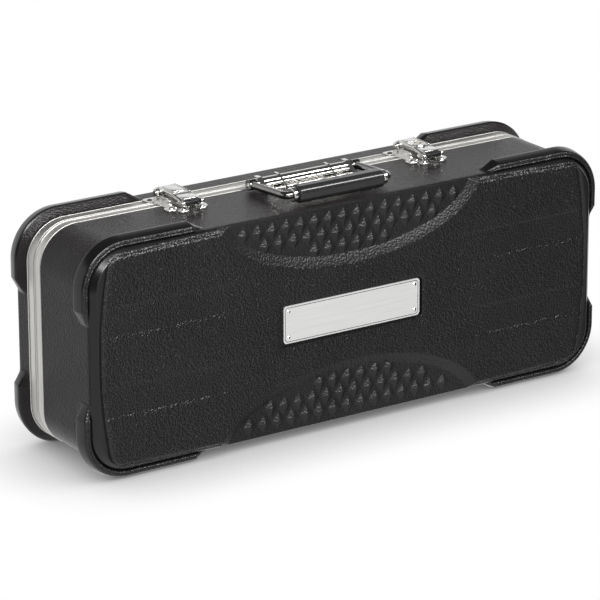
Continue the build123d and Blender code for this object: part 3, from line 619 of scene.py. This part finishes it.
def shell(name, depth, y_face, direction, patterned):
    """One moulded half as a closed mesh: outside, lip and inside."""
    window_x = POCKET_HALF_X + POCKET_MARGIN
    window_z = POCKET_HALF_Z + POCKET_MARGIN
    xs, zs = sample_columns(), sample_rows(2 if patterned else 4)
    spots = perimeter(xs, zs, HALF_LENGTH, HALF_HEIGHT, CORNER_RADIUS)
    weight = guard_weight(spots)
    base, normal = spots[:, :2], spots[:, 2:]
    count = len(spots)
    points, faces, kinds = [], [], []

    def add(places, depths):
        start = sum(len(p) for p in points)
        y = y_face + direction * depths
        points.append(np.stack([places[:, 0], y, places[:, 1] + Z_MID], 1))
        return start

    def join(a, b, finish):
        faces.extend(ring_faces(a, b, count))
        kinds.extend(finish)

    previous, first = None, None
    for plain, guarded, finish in shell_profile(depth):
        guarded = guarded or plain
        inset = plain[0] + weight * (guarded[0] - plain[0])
        deep = plain[1] + weight * (guarded[1] - plain[1])
        places = base - inset[:, None] * normal
        if patterned:
            hollow = lens_and_studs(*places.T)[0]
            on_face = (inset > RELIEF_START) & (inset < EDGE_RADIUS)
            relief = np.maximum(deep + field_edge(*places.T) * (hollow == 0), hollow)
            deep = np.where(on_face, relief, deep)
        start = add(places, deep)
        if previous is None:
            first = start
        else:
            look = np.where(weight > GUARD_SEEN, finish, PLAIN)
            if plain[0] >= EDGE_START:
                look = finish_of(*places.T) if patterned else np.full(count, RIM)
            join(previous, start, look)
        previous = start
    flat_insets = [p for p in lattice() if FLAT_START < p < CORNER_RADIUS - LAST_GAP]
    for inset in flat_insets + [CORNER_RADIUS]:
        places = base - inset * normal
        deep = field_edge(*places.T)
        pebbled = inside_field(*places.T) > 0
        look = np.where(pebbled, PEBBLED, RIM)
        if patterned:
            hollow = lens_and_studs(*places.T)[0]
            deep = np.maximum(deep * (hollow == 0) + bands(*places.T) * pebbled, hollow)
            look = finish_of(*places.T)
        start = add(places, deep)
        join(previous, start, look)
        previous = start

    gx, gz = np.meshgrid(xs, zs, indexing="ij")
    flat = np.stack([gx.ravel(), gz.ravel()], 1)
    deep = np.zeros(len(flat))
    look = np.full(len(flat), PEBBLED)
    if patterned:
        deep = np.maximum(lens_and_studs(*flat.T)[0], bands(*flat.T))
        look = finish_of(*flat.T)
    grid = add(flat, deep)
    wide = len(zs)
    for i in range(len(xs) - 1):
        in_columns = patterned and abs(xs[i] + xs[i + 1]) < 2 * window_x
        for k in range(wide - 1):
            if in_columns and abs(zs[k] + zs[k + 1]) < 2 * window_z:
                continue
            corner = grid + i * wide + k
            faces.append((corner, corner + wide, corner + wide + 1, corner + 1))
            kinds.append(look[i * wide + k])
    if patterned:
        in_x = [x for x in xs if abs(x) <= window_x + WELD]
        in_z = [z for z in zs if abs(z) <= window_z + WELD]
        loop = [(x, -window_z) for x in in_x] + [(window_x, z) for z in in_z[1:]]
        loop += [(x, window_z) for x in reversed(in_x[:-1])]
        loop += [(-window_x, z) for z in reversed(in_z[1:-1])]
        window = np.array(loop)
        size = len(window)
        before = add(window, np.zeros(size))
        for edge, at in pocket_patch(window):
            start = add(edge, np.full(size, at))
            faces.extend(ring_faces(before, start, size))
            kinds.extend([PEBBLED if at == 0 else RIM] * size)
            before = start
        faces.append(tuple(range(before, before + size)))
        kinds.append(RIM)

    floor = INNER_FLOOR if patterned else WALL
    inner = [
        (WALL, depth + LIP_DEPTH),
        (WALL, floor + INNER_ROUND),
        (WALL + INNER_ROUND_MID, floor + INNER_ROUND_MID),
        (WALL + INNER_ROUND, floor),
        (CORNER_RADIUS, floor),
    ]
    previous = first
    for inset, at in inner:
        start = add(base - inset * normal, np.full(count, at))
        join(start, previous, [PLAIN] * count)
        previous = start
    faces.append(tuple(range(previous, previous + count)))
    kinds.append(PLAIN)
    looks = [SHELL_WALL, SHELL_FACE, SHELL_RIM, SHELL_BEVEL]
    return smooth_mesh(name, np.concatenate(points), faces, looks, kinds, SHELL_CREASE)


# ---- soft pieces ----
LINING_INSET = 3.3 * MM  # outside of the lining, from the wall
LINING_THICK = 3.7 * MM
LINING_PUCKER = 0.25 * MM
LINING_WAVES = (46, 17)  # puckers and slower waves round the case
LINING_FLOOR = 4 * MM  # thickness on the floor, and rounding under it
LINING_ROUND_MID = 1.2 * MM
LINING_RIM = 2.2 * MM  # depth at which its rolled edge starts
# Rings down its inside, as shares of its depth, and round onto its floor, as further
# inset, height and share of the puckers.
LINING_ROWS = (0.12, 0.22, 0.36, 0.5, 0.64, 0.76)
LINING_COVE = ((0.5 * MM, 7 * MM, 0.3), (3.5 * MM, 4 * MM, 0))
LINING_COLUMNS, LINING_SIDE_ROWS = 140, 40
ROLL_STEPS = 6
PAD_INSET = 7.8 * MM
PAD_X, PAD_Z = HALF_LENGTH - PAD_INSET, HALF_HEIGHT - PAD_INSET
PAD_ROUND = 1.4 * MM  # how far the edge of a pad falls away
PAD_ROUND_WIDTH = 2.2 * MM
PAD_REAR = 1.2 * MM  # slight taper at its rear
PAD_REAR_SHARE = 0.996
PLUCK_CELL = 15 * MM
PLUCK_CUT = 1.5 * MM
PLUCK_HALF = 0.7 * MM  # half the width of a cut
PLUCK_FLAT = (0.3, 0.7)  # places across a cell, as shares of it
PLUCK_EDGE = (0, 0.5 * MM, 1.6 * MM)
PLUCK_LAST = 2.6 * MM
CRATE_PITCH = 36 * MM
CRATE_HEIGHT = 4.6 * MM
CRATE_COLUMNS, CRATE_ROWS = 124, 46


def lining(name, y_open, y_floor):
    """Plush liner: a soft tray with a rolled edge and slightly puckered walls."""
    inward = 1 if y_open > y_floor else -1
    half_x, half_z = HALF_LENGTH - LINING_INSET, HALF_HEIGHT - LINING_INSET
    radius = CORNER_RADIUS - LINING_INSET
    spots = even_perimeter(half_x, half_z, radius, LINING_COLUMNS, LINING_SIDE_ROWS)
    count = len(spots)
    around = np.arange(count) / count * 2 * pi
    fine, slow = LINING_WAVES
    pucker = LINING_PUCKER * (np.sin(fine * around) + 0.6 * np.sin(slow * around + 1))
    rings = [
        (radius, y_floor, 0),
        (LINING_FLOOR, y_floor, 0),
        (LINING_ROUND_MID, y_floor + inward * LINING_ROUND_MID, 0),
        (0, y_floor + inward * LINING_FLOOR, 0),
        (0, y_open - inward * LINING_RIM, 0),
    ]
    roll = LINING_THICK / 2
    for k in range(ROLL_STEPS + 1):
        angle = pi * k / ROLL_STEPS
        rings.append((roll - roll * cos(angle), y_open - inward * roll * (1 - sin(angle)), 0))
    depth = abs(y_open - y_floor)
    for share in LINING_ROWS:
        rings.append((LINING_THICK, y_open - inward * depth * share, sin(pi * share)))
    for inset, height, share in LINING_COVE:
        rings.append((LINING_THICK + inset, y_floor + inward * height, share))
    rings.append((radius, y_floor + inward * LINING_FLOOR, 0))
    points, faces = [], []
    for inset, y, share in rings:
        bulged = inset - pucker * share * (inset >= LINING_THICK)
        points.append(ring_at(spots, bulged[:, None], y))
    last = (len(rings) - 1) * count
    for start in range(0, last, count):
        faces += ring_faces(start, start + count, count)
    faces += [tuple(range(count)), tuple(range(last, last + count))]
    return smooth_mesh(name, np.concatenate(points), faces, [LINING_PLUSH])


def cell_places(half, cell):
    """Places across a row of cells, close together at the cuts between them."""
    reach = int(half / cell) + 1
    offsets = (-PLUCK_HALF, 0, PLUCK_HALF, *(share * cell for share in PLUCK_FLAT))
    places = [k * cell + off for k in range(-reach, reach + 1) for off in offsets]
    inside = [p for p in places if abs(p) < half - PLUCK_LAST]
    edge = [half - p for p in PLUCK_EDGE]
    return sorted(inside + edge + [-e for e in edge])


def plucked(x, z):
    """Relief of foam that is cut into small cubes."""
    off_x = np.abs(x - np.round(x / PLUCK_CELL) * PLUCK_CELL)
    off_z = np.abs(z - np.round(z / PLUCK_CELL) * PLUCK_CELL)
    cut = np.maximum(1 - off_x / PLUCK_HALF, 1 - off_z / PLUCK_HALF)
    return PLUCK_CUT * np.clip(cut, 0, 1)


def egg_crate(x, z):
    """Relief of egg-crate foam."""
    wave = np.cos(2 * pi * x / CRATE_PITCH) * np.cos(2 * pi * z / CRATE_PITCH)
    return CRATE_HEIGHT * 0.5 * (1 - wave)


def foam_pad(name, y_face, y_rear, xs, zs, relief):
    """Foam pad with rounded corners and edges and a relief on its open side."""
    radius = CORNER_RADIUS - PAD_INSET
    inward = 1 if y_rear > y_face else -1
    gx, gz = np.meshgrid(xs, zs, indexing="ij")
    u = np.abs(gx) - (PAD_X - radius)
    v = np.abs(gz) - (PAD_Z - radius)
    in_corner = (u > 0) & (v > 0)
    length = np.where(in_corner, np.hypot(u, v), 1)
    pull = np.where(in_corner, np.maximum(u, v) / length, 1)
    x = np.where(in_corner, np.sign(gx) * (PAD_X - radius + u * pull), gx)
    z = np.where(in_corner, np.sign(gz) * (PAD_Z - radius + v * pull), gz)
    to_side = np.minimum(PAD_X - np.abs(gx), PAD_Z - np.abs(gz))
    to_edge = np.where(in_corner, radius - np.maximum(u, v), to_side)
    rounding = PAD_ROUND * (1 - np.clip(to_edge / PAD_ROUND_WIDTH, 0, 1)) ** 2
    open_y = y_face + inward * (relief(x, z) + rounding)
    front = np.stack([x, open_y, z + Z_MID], 2).reshape(-1, 3)
    wide, tall = len(xs), len(zs)
    faces = []
    for i in range(wide - 1):
        for k in range(tall - 1):
            corner = i * tall + k
            faces.append((corner, corner + tall, corner + tall + 1, corner + 1))
    border = [i * tall for i in range(wide)] + [(wide - 1) * tall + k for k in range(1, tall)]
    border += [i * tall + tall - 1 for i in range(wide - 2, -1, -1)]
    border += list(range(tall - 2, 0, -1))
    count = len(border)
    loops = []
    for y, shrink in ((y_rear - inward * PAD_REAR, 1.0), (y_rear, PAD_REAR_SHARE)):
        loop = front[border].copy()
        loop[:, 1] = y
        loop[:, 0] *= shrink
        loop[:, 2] = Z_MID + (loop[:, 2] - Z_MID) * shrink
        loops.append(loop)
    first = len(front)
    for i in range(count):
        k = (i + 1) % count
        faces.append((border[i], border[k], first + k, first + i))
    faces += ring_faces(first, first + count, count)
    faces.append(tuple(range(first + count, first + 2 * count)))
    return smooth_mesh(name, np.concatenate([front, *loops]), faces, [FOAM_BLACK])


# ---- stamped metal details ----
LATCH_X = 121 * MM  # middle of each latch
ROD_STEPS, DOME_STEPS, BLOCK_SEGMENTS = 16, 24, 3
TIP_ROWS, DOME_ROWS = 4, 6  # rows from the full radius to the tip
TIP_SHARE = 0.01  # share of its radius at which a rod comes to a point
DOME_SUNK = 0.3 * MM
# A lever, from its middle in X: side beads, raised plate, paddle, its frame, finger lip.
BEAD_X, BEAD_RADIUS = 7.9 * MM, 0.8 * MM
BEAD_Y, BEAD_Z = (11.5 * MM, 34 * MM), 208.3 * MM
PLATE_HALF, PLATE_END = 5.6 * MM, 33 * MM
PLATE_Z, PLATE_EDGE = (207.8 * MM, 209.2 * MM), 0.45 * MM
PADDLE_HALF, PADDLE_Y = 7.4 * MM, (-4.4 * MM, 8.4 * MM)
PADDLE_Z, PADDLE_EDGE = (205.3 * MM, 208.0 * MM), 0.7 * MM
FRAME_X, FRAME_RADIUS = 8.6 * MM, 0.7 * MM
FRAME_Y, FRAME_Z = (7.5 * MM, -4.0 * MM), (205.4 * MM, 205.0 * MM)
CURL_X, CURL_RADIUS = (8.4 * MM, 9.3 * MM), 2.0 * MM
CURL_Y, CURL_Z = -6.0 * MM, 204.5 * MM
LIP_HALF, LIP_EDGE = 8.7 * MM, 1.7 * MM
LIP_Y, LIP_Z = (-7.9 * MM, -4.2 * MM), (202.2 * MM, 206.7 * MM)
# A latch base: side rails, and tabs in mm as middle, half sizes and radius of the rivet.
RAIL_X, RAIL_Z, RAIL_RADIUS = 12.0 * MM, 199.6 * MM, 1.2 * MM
RAIL_Y = (1 * MM, 26 * MM)
TABS = ((-9.3, -6.6, 4.2, 3.6, 2.4), (8.4, -6.4, 3.4, 3.4, 2.2), (-15.8, 2.0, 4.8, 4.0, 2.8))
TAB_Z, TAB_EDGE = (197.2 * MM, 199.6 * MM), 0.8 * MM
RIVET_Z, RIVET_HEIGHT = 199.5 * MM, 1.5 * MM
# The line on the badge, with its section as insets and heights in mm.
BADGE_HALF_X, BADGE_HALF_Z, BADGE_RADIUS = 67.2 * MM, 15.0 * MM, 3.2 * MM
BADGE_Y, BADGE_Z = Y_FACE + 0.97 * MM, 102.45 * MM
BADGE_COLUMNS, BADGE_ROWS = 9, 5
BADGE_SECTION = ((0, 0.04), (0.06, 0), (0.5, 0), (0.56, 0.04), (0.56, 0.2), (0, 0.2))
# Rings round the case.
TRIM_COLUMNS, TRIM_ROWS = 40, 16
TRIM_SUNK = 0.4 * MM
TRIM_BEAD_SHARE = 0.7  # height of a bead, as a share of its half width
TRIM_BEAD_STEPS = 8
TRIM_LINE = 0.04 * MM  # height of a flat line


def about(middle, half):
    """Range with a middle and half its size."""
    return middle - half, middle + half


def add_block(work, xs, ys, zs, radius):
    """Block with rounded edges, from its range along each axis."""
    size = [high - low for low, high in (xs, ys, zs)]
    centre = Vector([(low + high) / 2 for low, high in (xs, ys, zs)])
    matrix = Matrix.Translation(centre) @ Matrix.Diagonal((*size, 1))
    made = bmesh.ops.create_cube(work, size=1.0, matrix=matrix)
    edges = list(dict.fromkeys(edge for vert in made["verts"] for edge in vert.link_edges))
    rounding = {"offset": radius, "segments": BLOCK_SEGMENTS, "profile": 0.5}
    bmesh.ops.bevel(work, geom=edges, affect="EDGES", **rounding)


def circle(work, middle, turn, radius, steps):
    """Vertices round a circle in a turned plane."""
    angles = [2 * pi * k / steps for k in range(steps)]
    spots = [Vector((radius * cos(a), radius * sin(a), 0)) for a in angles]
    return [work.verts.new(middle + turn @ spot) for spot in spots]


def skin(work, loops):
    """Faces between loops of vertices, each a circle or a single tip."""
    for one, two in zip(loops, loops[1:]):
        steps = max(len(one), len(two))
        for k in range(steps):
            n = (k + 1) % steps
            corners = [one[k % len(one)], one[n % len(one)], two[n % len(two)], two[k % len(two)]]
            work.faces.new(list(dict.fromkeys(corners)))


def add_rod(work, start, end, radius):
    """Rod with domed ends."""
    start, end = Vector(start), Vector(end)
    turn = (end - start).to_track_quat("Z", "Y").to_matrix()
    length = (end - start).length
    angles = [pi / 2 * k / TIP_ROWS for k in range(TIP_ROWS + 1)]
    rings = [(-radius * cos(a), radius * sin(a)) for a in angles]
    rings += [(length + radius * cos(a), radius * sin(a)) for a in reversed(angles)]
    loops = []
    for along, out in rings:
        middle = start + turn @ Vector((0, 0, along))
        steps = ROD_STEPS if out > TIP_SHARE * radius else 1
        loops.append(circle(work, middle, turn, out, steps))
    skin(work, loops)


def add_dome(work, centre, radius, height):
    """Domed rivet head on a flat."""
    centre = Vector(centre)
    rings = [(radius, -DOME_SUNK), (radius, 0)]
    angles = [pi / 2 * k / DOME_ROWS for k in range(1, DOME_ROWS)]
    rings += [(radius * cos(a), height * sin(a)) for a in angles]
    loops = []
    for out, up in rings:
        middle = centre + Vector((0, 0, up))
        loops.append(circle(work, middle, Matrix.Identity(3), out, DOME_STEPS))
    loops.append([work.verts.new(centre + Vector((0, 0, height)))])
    skin(work, loops)
    work.faces.new(loops[0][::-1])


def metal_piece(name, work, look, body):
    """Object from a finished bmesh, riding on a body. Points and faces are put in order,
    because a bevel gives them in an order that changes from run to run."""
    bmesh.ops.recalc_face_normals(work, faces=work.faces)
    places = sorted(tuple(vert.co) for vert in work.verts)
    rank = {place: k for k, place in enumerate(places)}
    faces = [[rank[tuple(vert.co)] for vert in face.verts] for face in work.faces]
    work.free()
    data = bpy.data.meshes.new(name)
    data.from_pydata(places, [], sorted(faces))
    data.materials.append(look)
    data.shade_smooth()
    data.set_sharp_from_angle(angle=radians(METAL_CREASE))
    piece = placed(name, data)
    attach(piece, body)


def lever_trim(name, centre, body, plate_from):
    """Stamped relief of one lever: side beads, raised plate, framed paddle and rolled lip."""
    work = bmesh.new()
    for side in (-1, 1):
        bead, frame_at = centre + BEAD_X * side, centre + FRAME_X * side
        ends = [(bead, y, BEAD_Z) for y in BEAD_Y]
        add_rod(work, *ends, BEAD_RADIUS)
        ends = [(frame_at, y, z) for y, z in zip(FRAME_Y, FRAME_Z)]
        add_rod(work, *ends, FRAME_RADIUS)
    add_block(work, about(centre, PLATE_HALF), (plate_from, PLATE_END), PLATE_Z, PLATE_EDGE)
    add_block(work, about(centre, PADDLE_HALF), PADDLE_Y, PADDLE_Z, PADDLE_EDGE)
    for side in (-1, 1):
        ends = [(centre + x * side, CURL_Y, CURL_Z) for x in CURL_X]
        add_rod(work, *ends, CURL_RADIUS)
    metal_piece(name, work, LATCH_METAL, body)
    # The finger lip is given the dark bevel plastic instead of the lever's metal, so the lever's
    # front shows as a dark band.
    lip = bmesh.new()
    add_block(lip, about(centre, LIP_HALF), LIP_Y, LIP_Z, LIP_EDGE)
    metal_piece(name + "_lip", lip, SHELL_BEVEL, body)


def base_trim(name, centre):
    """Rolled rails of one latch base, two front tabs and a side tab, each with a rivet."""
    work = bmesh.new()
    for side in (-1, 1):
        ends = [(centre + RAIL_X * side, y, RAIL_Z) for y in RAIL_Y]
        add_rod(work, *ends, RAIL_RADIUS)
    for tab in TABS:
        x, y, half_x, half_y, radius = (size * MM for size in tab)
        x += centre
        add_block(work, about(x, half_x), about(y, half_y), TAB_Z, TAB_EDGE)
        add_dome(work, (x, y, RIVET_Z), radius, RIVET_HEIGHT)
    metal_piece(name, work, RIVET_METAL, "root")


def badge_frame(name):
    """Thin dark line inlaid near the edge of the bare badge plate."""
    sizes = (BADGE_HALF_X, BADGE_HALF_Z, BADGE_RADIUS)
    spots = even_perimeter(*sizes, BADGE_COLUMNS, BADGE_ROWS)
    rings = [ring_at(spots, a * MM, BADGE_Y + b * MM, BADGE_Z) for a, b in BADGE_SECTION]
    looped(name, rings, GRIP_BLACK, "root")


def trim_ring(name, y_mid, half_width, section, look, body):
    """Fine ring all round the case at a place in Y: "bead" is a half-round, "line" is flat."""
    sizes = (HALF_LENGTH, HALF_HEIGHT, CORNER_RADIUS)
    spots = even_perimeter(*sizes, TRIM_COLUMNS, TRIM_ROWS)
    if section == "bead":
        angles = [pi * k / TRIM_BEAD_STEPS for k in range(TRIM_BEAD_STEPS + 1)]
        height = half_width * TRIM_BEAD_SHARE
        profile = [(-height * sin(a), y_mid - half_width * cos(a)) for a in angles]
    else:
        profile = [(-TRIM_LINE, y_mid - half_width), (-TRIM_LINE, y_mid + half_width)]
    profile += [(TRIM_SUNK, y_mid + half_width), (TRIM_SUNK, y_mid - half_width)]
    looped(name, [ring_at(spots, inset, y) for inset, y in profile], look, body)


# ---- build ----
deep = shell("deep_half", DEEP_DEPTH, Y_FACE, 1, True)
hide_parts("deep_shell")
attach(deep, "root")

lid = shell("lid_half", LID_DEPTH, Y_BACK, -1, False)
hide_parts("lid_shell")
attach(lid, "lid")

crate_x = list(np.linspace(-PAD_X, PAD_X, CRATE_COLUMNS))
crate_z = list(np.linspace(-PAD_Z, PAD_Z, CRATE_ROWS))
pluck_x, pluck_z = cell_places(PAD_X, PLUCK_CELL), cell_places(PAD_Z, PLUCK_CELL)
deep_liner = lining("deep_liner", y_open=25.1 * MM, y_floor=-54.7 * MM)
lid_liner = lining("lid_liner", y_open=32.9 * MM, y_floor=58.7 * MM)
deep_pad_y, lid_pad_y = (-40.4 * MM, -50.4 * MM), (45.4 * MM, 54.4 * MM)
cut_foam = foam_pad("deep_cut_foam", *deep_pad_y, pluck_x, pluck_z, plucked)
crate_foam = foam_pad("lid_crate_foam", *lid_pad_y, crate_x, crate_z, egg_crate)
soft = [
    (deep_liner, "deep_lining", "lining", "root"),
    (lid_liner, "lid_lining", "lining", "lid"),
    (cut_foam, "deep_foam_pad", "foam", "root"),
    (crate_foam, "lid_foam_pad", "foam", "lid"),
]
for piece, solid, slot, body in soft:
    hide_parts(solid)
    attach(piece, body)

lever_trim("latch_left_lever_trim", -LATCH_X, "latch_left", 14 * MM)
lever_trim("latch_right_lever_trim", LATCH_X, "latch_right", 23 * MM)
badge_frame("badge_frame")
# A black flat line over the gap between the two metal edges: painted shade standing for the dark
# of that gap.
trim_ring("edge_seam_shade", 28.58 * MM, 0.4 * MM, "line", GRIP_BLACK, "root")
trim_ring("deep_edge_bead", 19.0 * MM, 0.7 * MM, "bead", EDGE_METAL, "root")
trim_ring("deep_edge_bead_inner", 27.7 * MM, 0.6 * MM, "bead", EDGE_METAL, "root")
trim_ring("lid_edge_bead_inner", 30.0 * MM, 0.6 * MM, "bead", EDGE_METAL, "lid")
trim_ring("lid_edge_bead", 38.9 * MM, 0.7 * MM, "bead", EDGE_METAL, "lid")
base_trim("latch_left_base_trim", -LATCH_X)
base_trim("latch_right_base_trim", LATCH_X)

unriveted = [n for n in nodes if not n.endswith("rivets")]
paint(["deep_valance", "lid_valance"], EDGE_METAL)
paint(["badge_plate"], BADGE_METAL)
paint([n for n in nodes if n.endswith("rivets")], RIVET_METAL)
paint([n for n in unriveted if n.startswith("latch_")] + ["lock_collar"], LATCH_METAL)
paint([n for n in unriveted if n.startswith("hinge_")] + ["handle_backing"], HINGE_METAL)
paint(["handle_base", "handle_ferrules", "handle_pins"], HANDLE_METAL)
# The bail takes the chrome painted dark, a painted dark reflection.
paint(["handle_bail"], BAIL_CHROME_PAINTED_DARK)
paint(["handle_grip"], GRIP_BLACK)
paint(["lock_plug"], LOCK_METAL)


# ---- surroundings ----
FLOOR_HALF = 3.0
SHADOW_REACH = 0.10  # distance from the case at which its shadow ends
SHADOW_TONE = 0.10
SHADOW_CLEAR = 0.92  # openness from which the floor is plain white
# Where the white sweep fades out, as parts of the direction of a ray. It lies below the
# case except far to the right, and behind the case up to a height.
BELOW_Z, LEFTWARD_X = (-0.38, -0.14), (0.47, 0.62)
TOP_Z, BEHIND_Y = (0.42, 0.56), (-0.15, 0.25)
LAMP_AIM = (0, 0, 0.1)
CAMERA_PLACE = (-1.666, -2.477, 1.1083)
CAMERA_TURN = (-33.739, 18.75, -0.17)  # azimuth, elevation and roll in degrees
CAMERA_LENS, CAMERA_SENSOR = 223.65, 36


def floor_sheet():
    """Plain white floor that shows only the soft shadow under the object."""
    half = FLOOR_HALF
    corners = [(-half, -half, 0), (half, -half, 0), (half, half, 0), (-half, half, 0)]
    data = bpy.data.meshes.new("floor")
    data.from_pydata(corners, [], [(0, 1, 2, 3)])
    made, tree, shader = material("floor_white")
    tree.nodes.remove(shader)
    shade = node(tree, "ShaderNodeAmbientOcclusion", samples=16, socket_Distance=SHADOW_REACH)
    open_to = shade.outputs["AO"]
    tone = tint(tree, open_to, (SHADOW_TONE,) * 3, (1, 1, 1), positions=(0.0, SHADOW_CLEAR))
    path = node(tree, "ShaderNodeLightPath")
    seen = node(tree, "ShaderNodeMix", data_type="RGBA")
    seen.inputs[6].default_value = (1, 1, 1, 1)
    tree.links.new(path.outputs["Is Camera Ray"], seen.inputs[0])
    tree.links.new(tone, seen.inputs[7])
    clear = node(tree, "ShaderNodeBsdfTransparent")
    tree.links.new(seen.outputs[2], clear.inputs["Color"])
    tree.links.new(clear.outputs["BSDF"], tree.nodes["Material Output"].inputs["Surface"])
    data.materials.append(made)
    piece = placed("floor", data)


def studio_world():
    """White background. What the object reflects is the same white background below and
    behind it, which ends in a dim room above and in front. Other light is a little lower."""
    world = bpy.data.worlds.new("studio")
    bpy.context.scene.world = world
    world.use_nodes = True
    tree = world.node_tree
    background = tree.nodes["Background"]
    background.inputs["Color"].default_value = (1, 1, 1, 1)
    coords = node(tree, "ShaderNodeTexCoord")
    split = node(tree, "ShaderNodeSeparateXYZ")
    tree.links.new(coords.outputs["Generated"], split.inputs["Vector"])
    x, y, z = split.outputs
    below = spread(tree, z, 1.0, 0.0, BELOW_Z)
    leftward = spread(tree, x, 1.0, 0.0, LEFTWARD_X)
    under_top = spread(tree, z, 1.0, 0.0, TOP_Z)
    behind = spread(tree, y, 0.0, 1.0, BEHIND_Y)
    beneath = combined(tree, "MULTIPLY", below, leftward)
    backdrop = combined(tree, "MULTIPLY", under_top, behind)
    sweep = combined(tree, "MAXIMUM", beneath, backdrop)
    lit = spread(tree, sweep, ROOM_LEVEL, SWEEP_LEVEL, (0.0, 1.0))
    rays = node(tree, "ShaderNodeLightPath").outputs
    seen = combined(tree, "MAXIMUM", rays["Is Camera Ray"], rays["Is Transmission Ray"])
    mirrored = combined(tree, "MULTIPLY", rays["Is Glossy Ray"], sweep)
    seen = combined(tree, "MAXIMUM", seen, mirrored)
    strength = node(tree, "ShaderNodeMix", data_type="FLOAT")
    strength.inputs[3].default_value = 1.0
    tree.links.new(seen, strength.inputs[0])
    tree.links.new(lit, strength.inputs[2])
    tree.links.new(strength.outputs[0], background.inputs["Strength"])


def area_light(name, place, size, power):
    """Soft box at a place, aimed at the case."""
    lamp = bpy.data.lights.new(name, "AREA")
    lamp.shape = "RECTANGLE"
    lamp.size, lamp.size_y = size
    lamp.energy = power
    piece = placed(name, lamp)
    piece.location = place
    aim = Vector(LAMP_AIM) - Vector(place)
    piece.rotation_euler = aim.to_track_quat("-Z", "Y").to_euler()


def camera():
    """Camera of the photograph, fitted to the edges of the case."""
    azimuth, elevation, roll = map(radians, CAMERA_TURN)
    level = cos(elevation)
    back = Vector((sin(azimuth) * level, -cos(azimuth) * level, sin(elevation)))
    right = (-back).cross(Vector((0, 0, 1))).normalized()
    up = right.cross(-back)
    rolled = right * cos(roll) + up * sin(roll)
    risen = up * cos(roll) - right * sin(roll)
    data = bpy.data.cameras.new("camera")
    data.sensor_width = CAMERA_SENSOR
    data.lens = CAMERA_LENS
    data.clip_end = 50
    piece = placed("camera", data)
    turned = Matrix((rolled, risen, back)).transposed().to_4x4()
    piece.matrix_world = Matrix.Translation(CAMERA_PLACE) @ turned
    bpy.context.scene.camera = piece


floor_sheet()
studio_world()
camera()
area_light("key", (0.0, -1.6, 1.6), (3.2, 0.42), 110)
area_light("side", (-0.5, -2.1, 0.35), (0.7, 0.7), 7)
bpy.context.scene.view_settings.view_transform = "Standard"
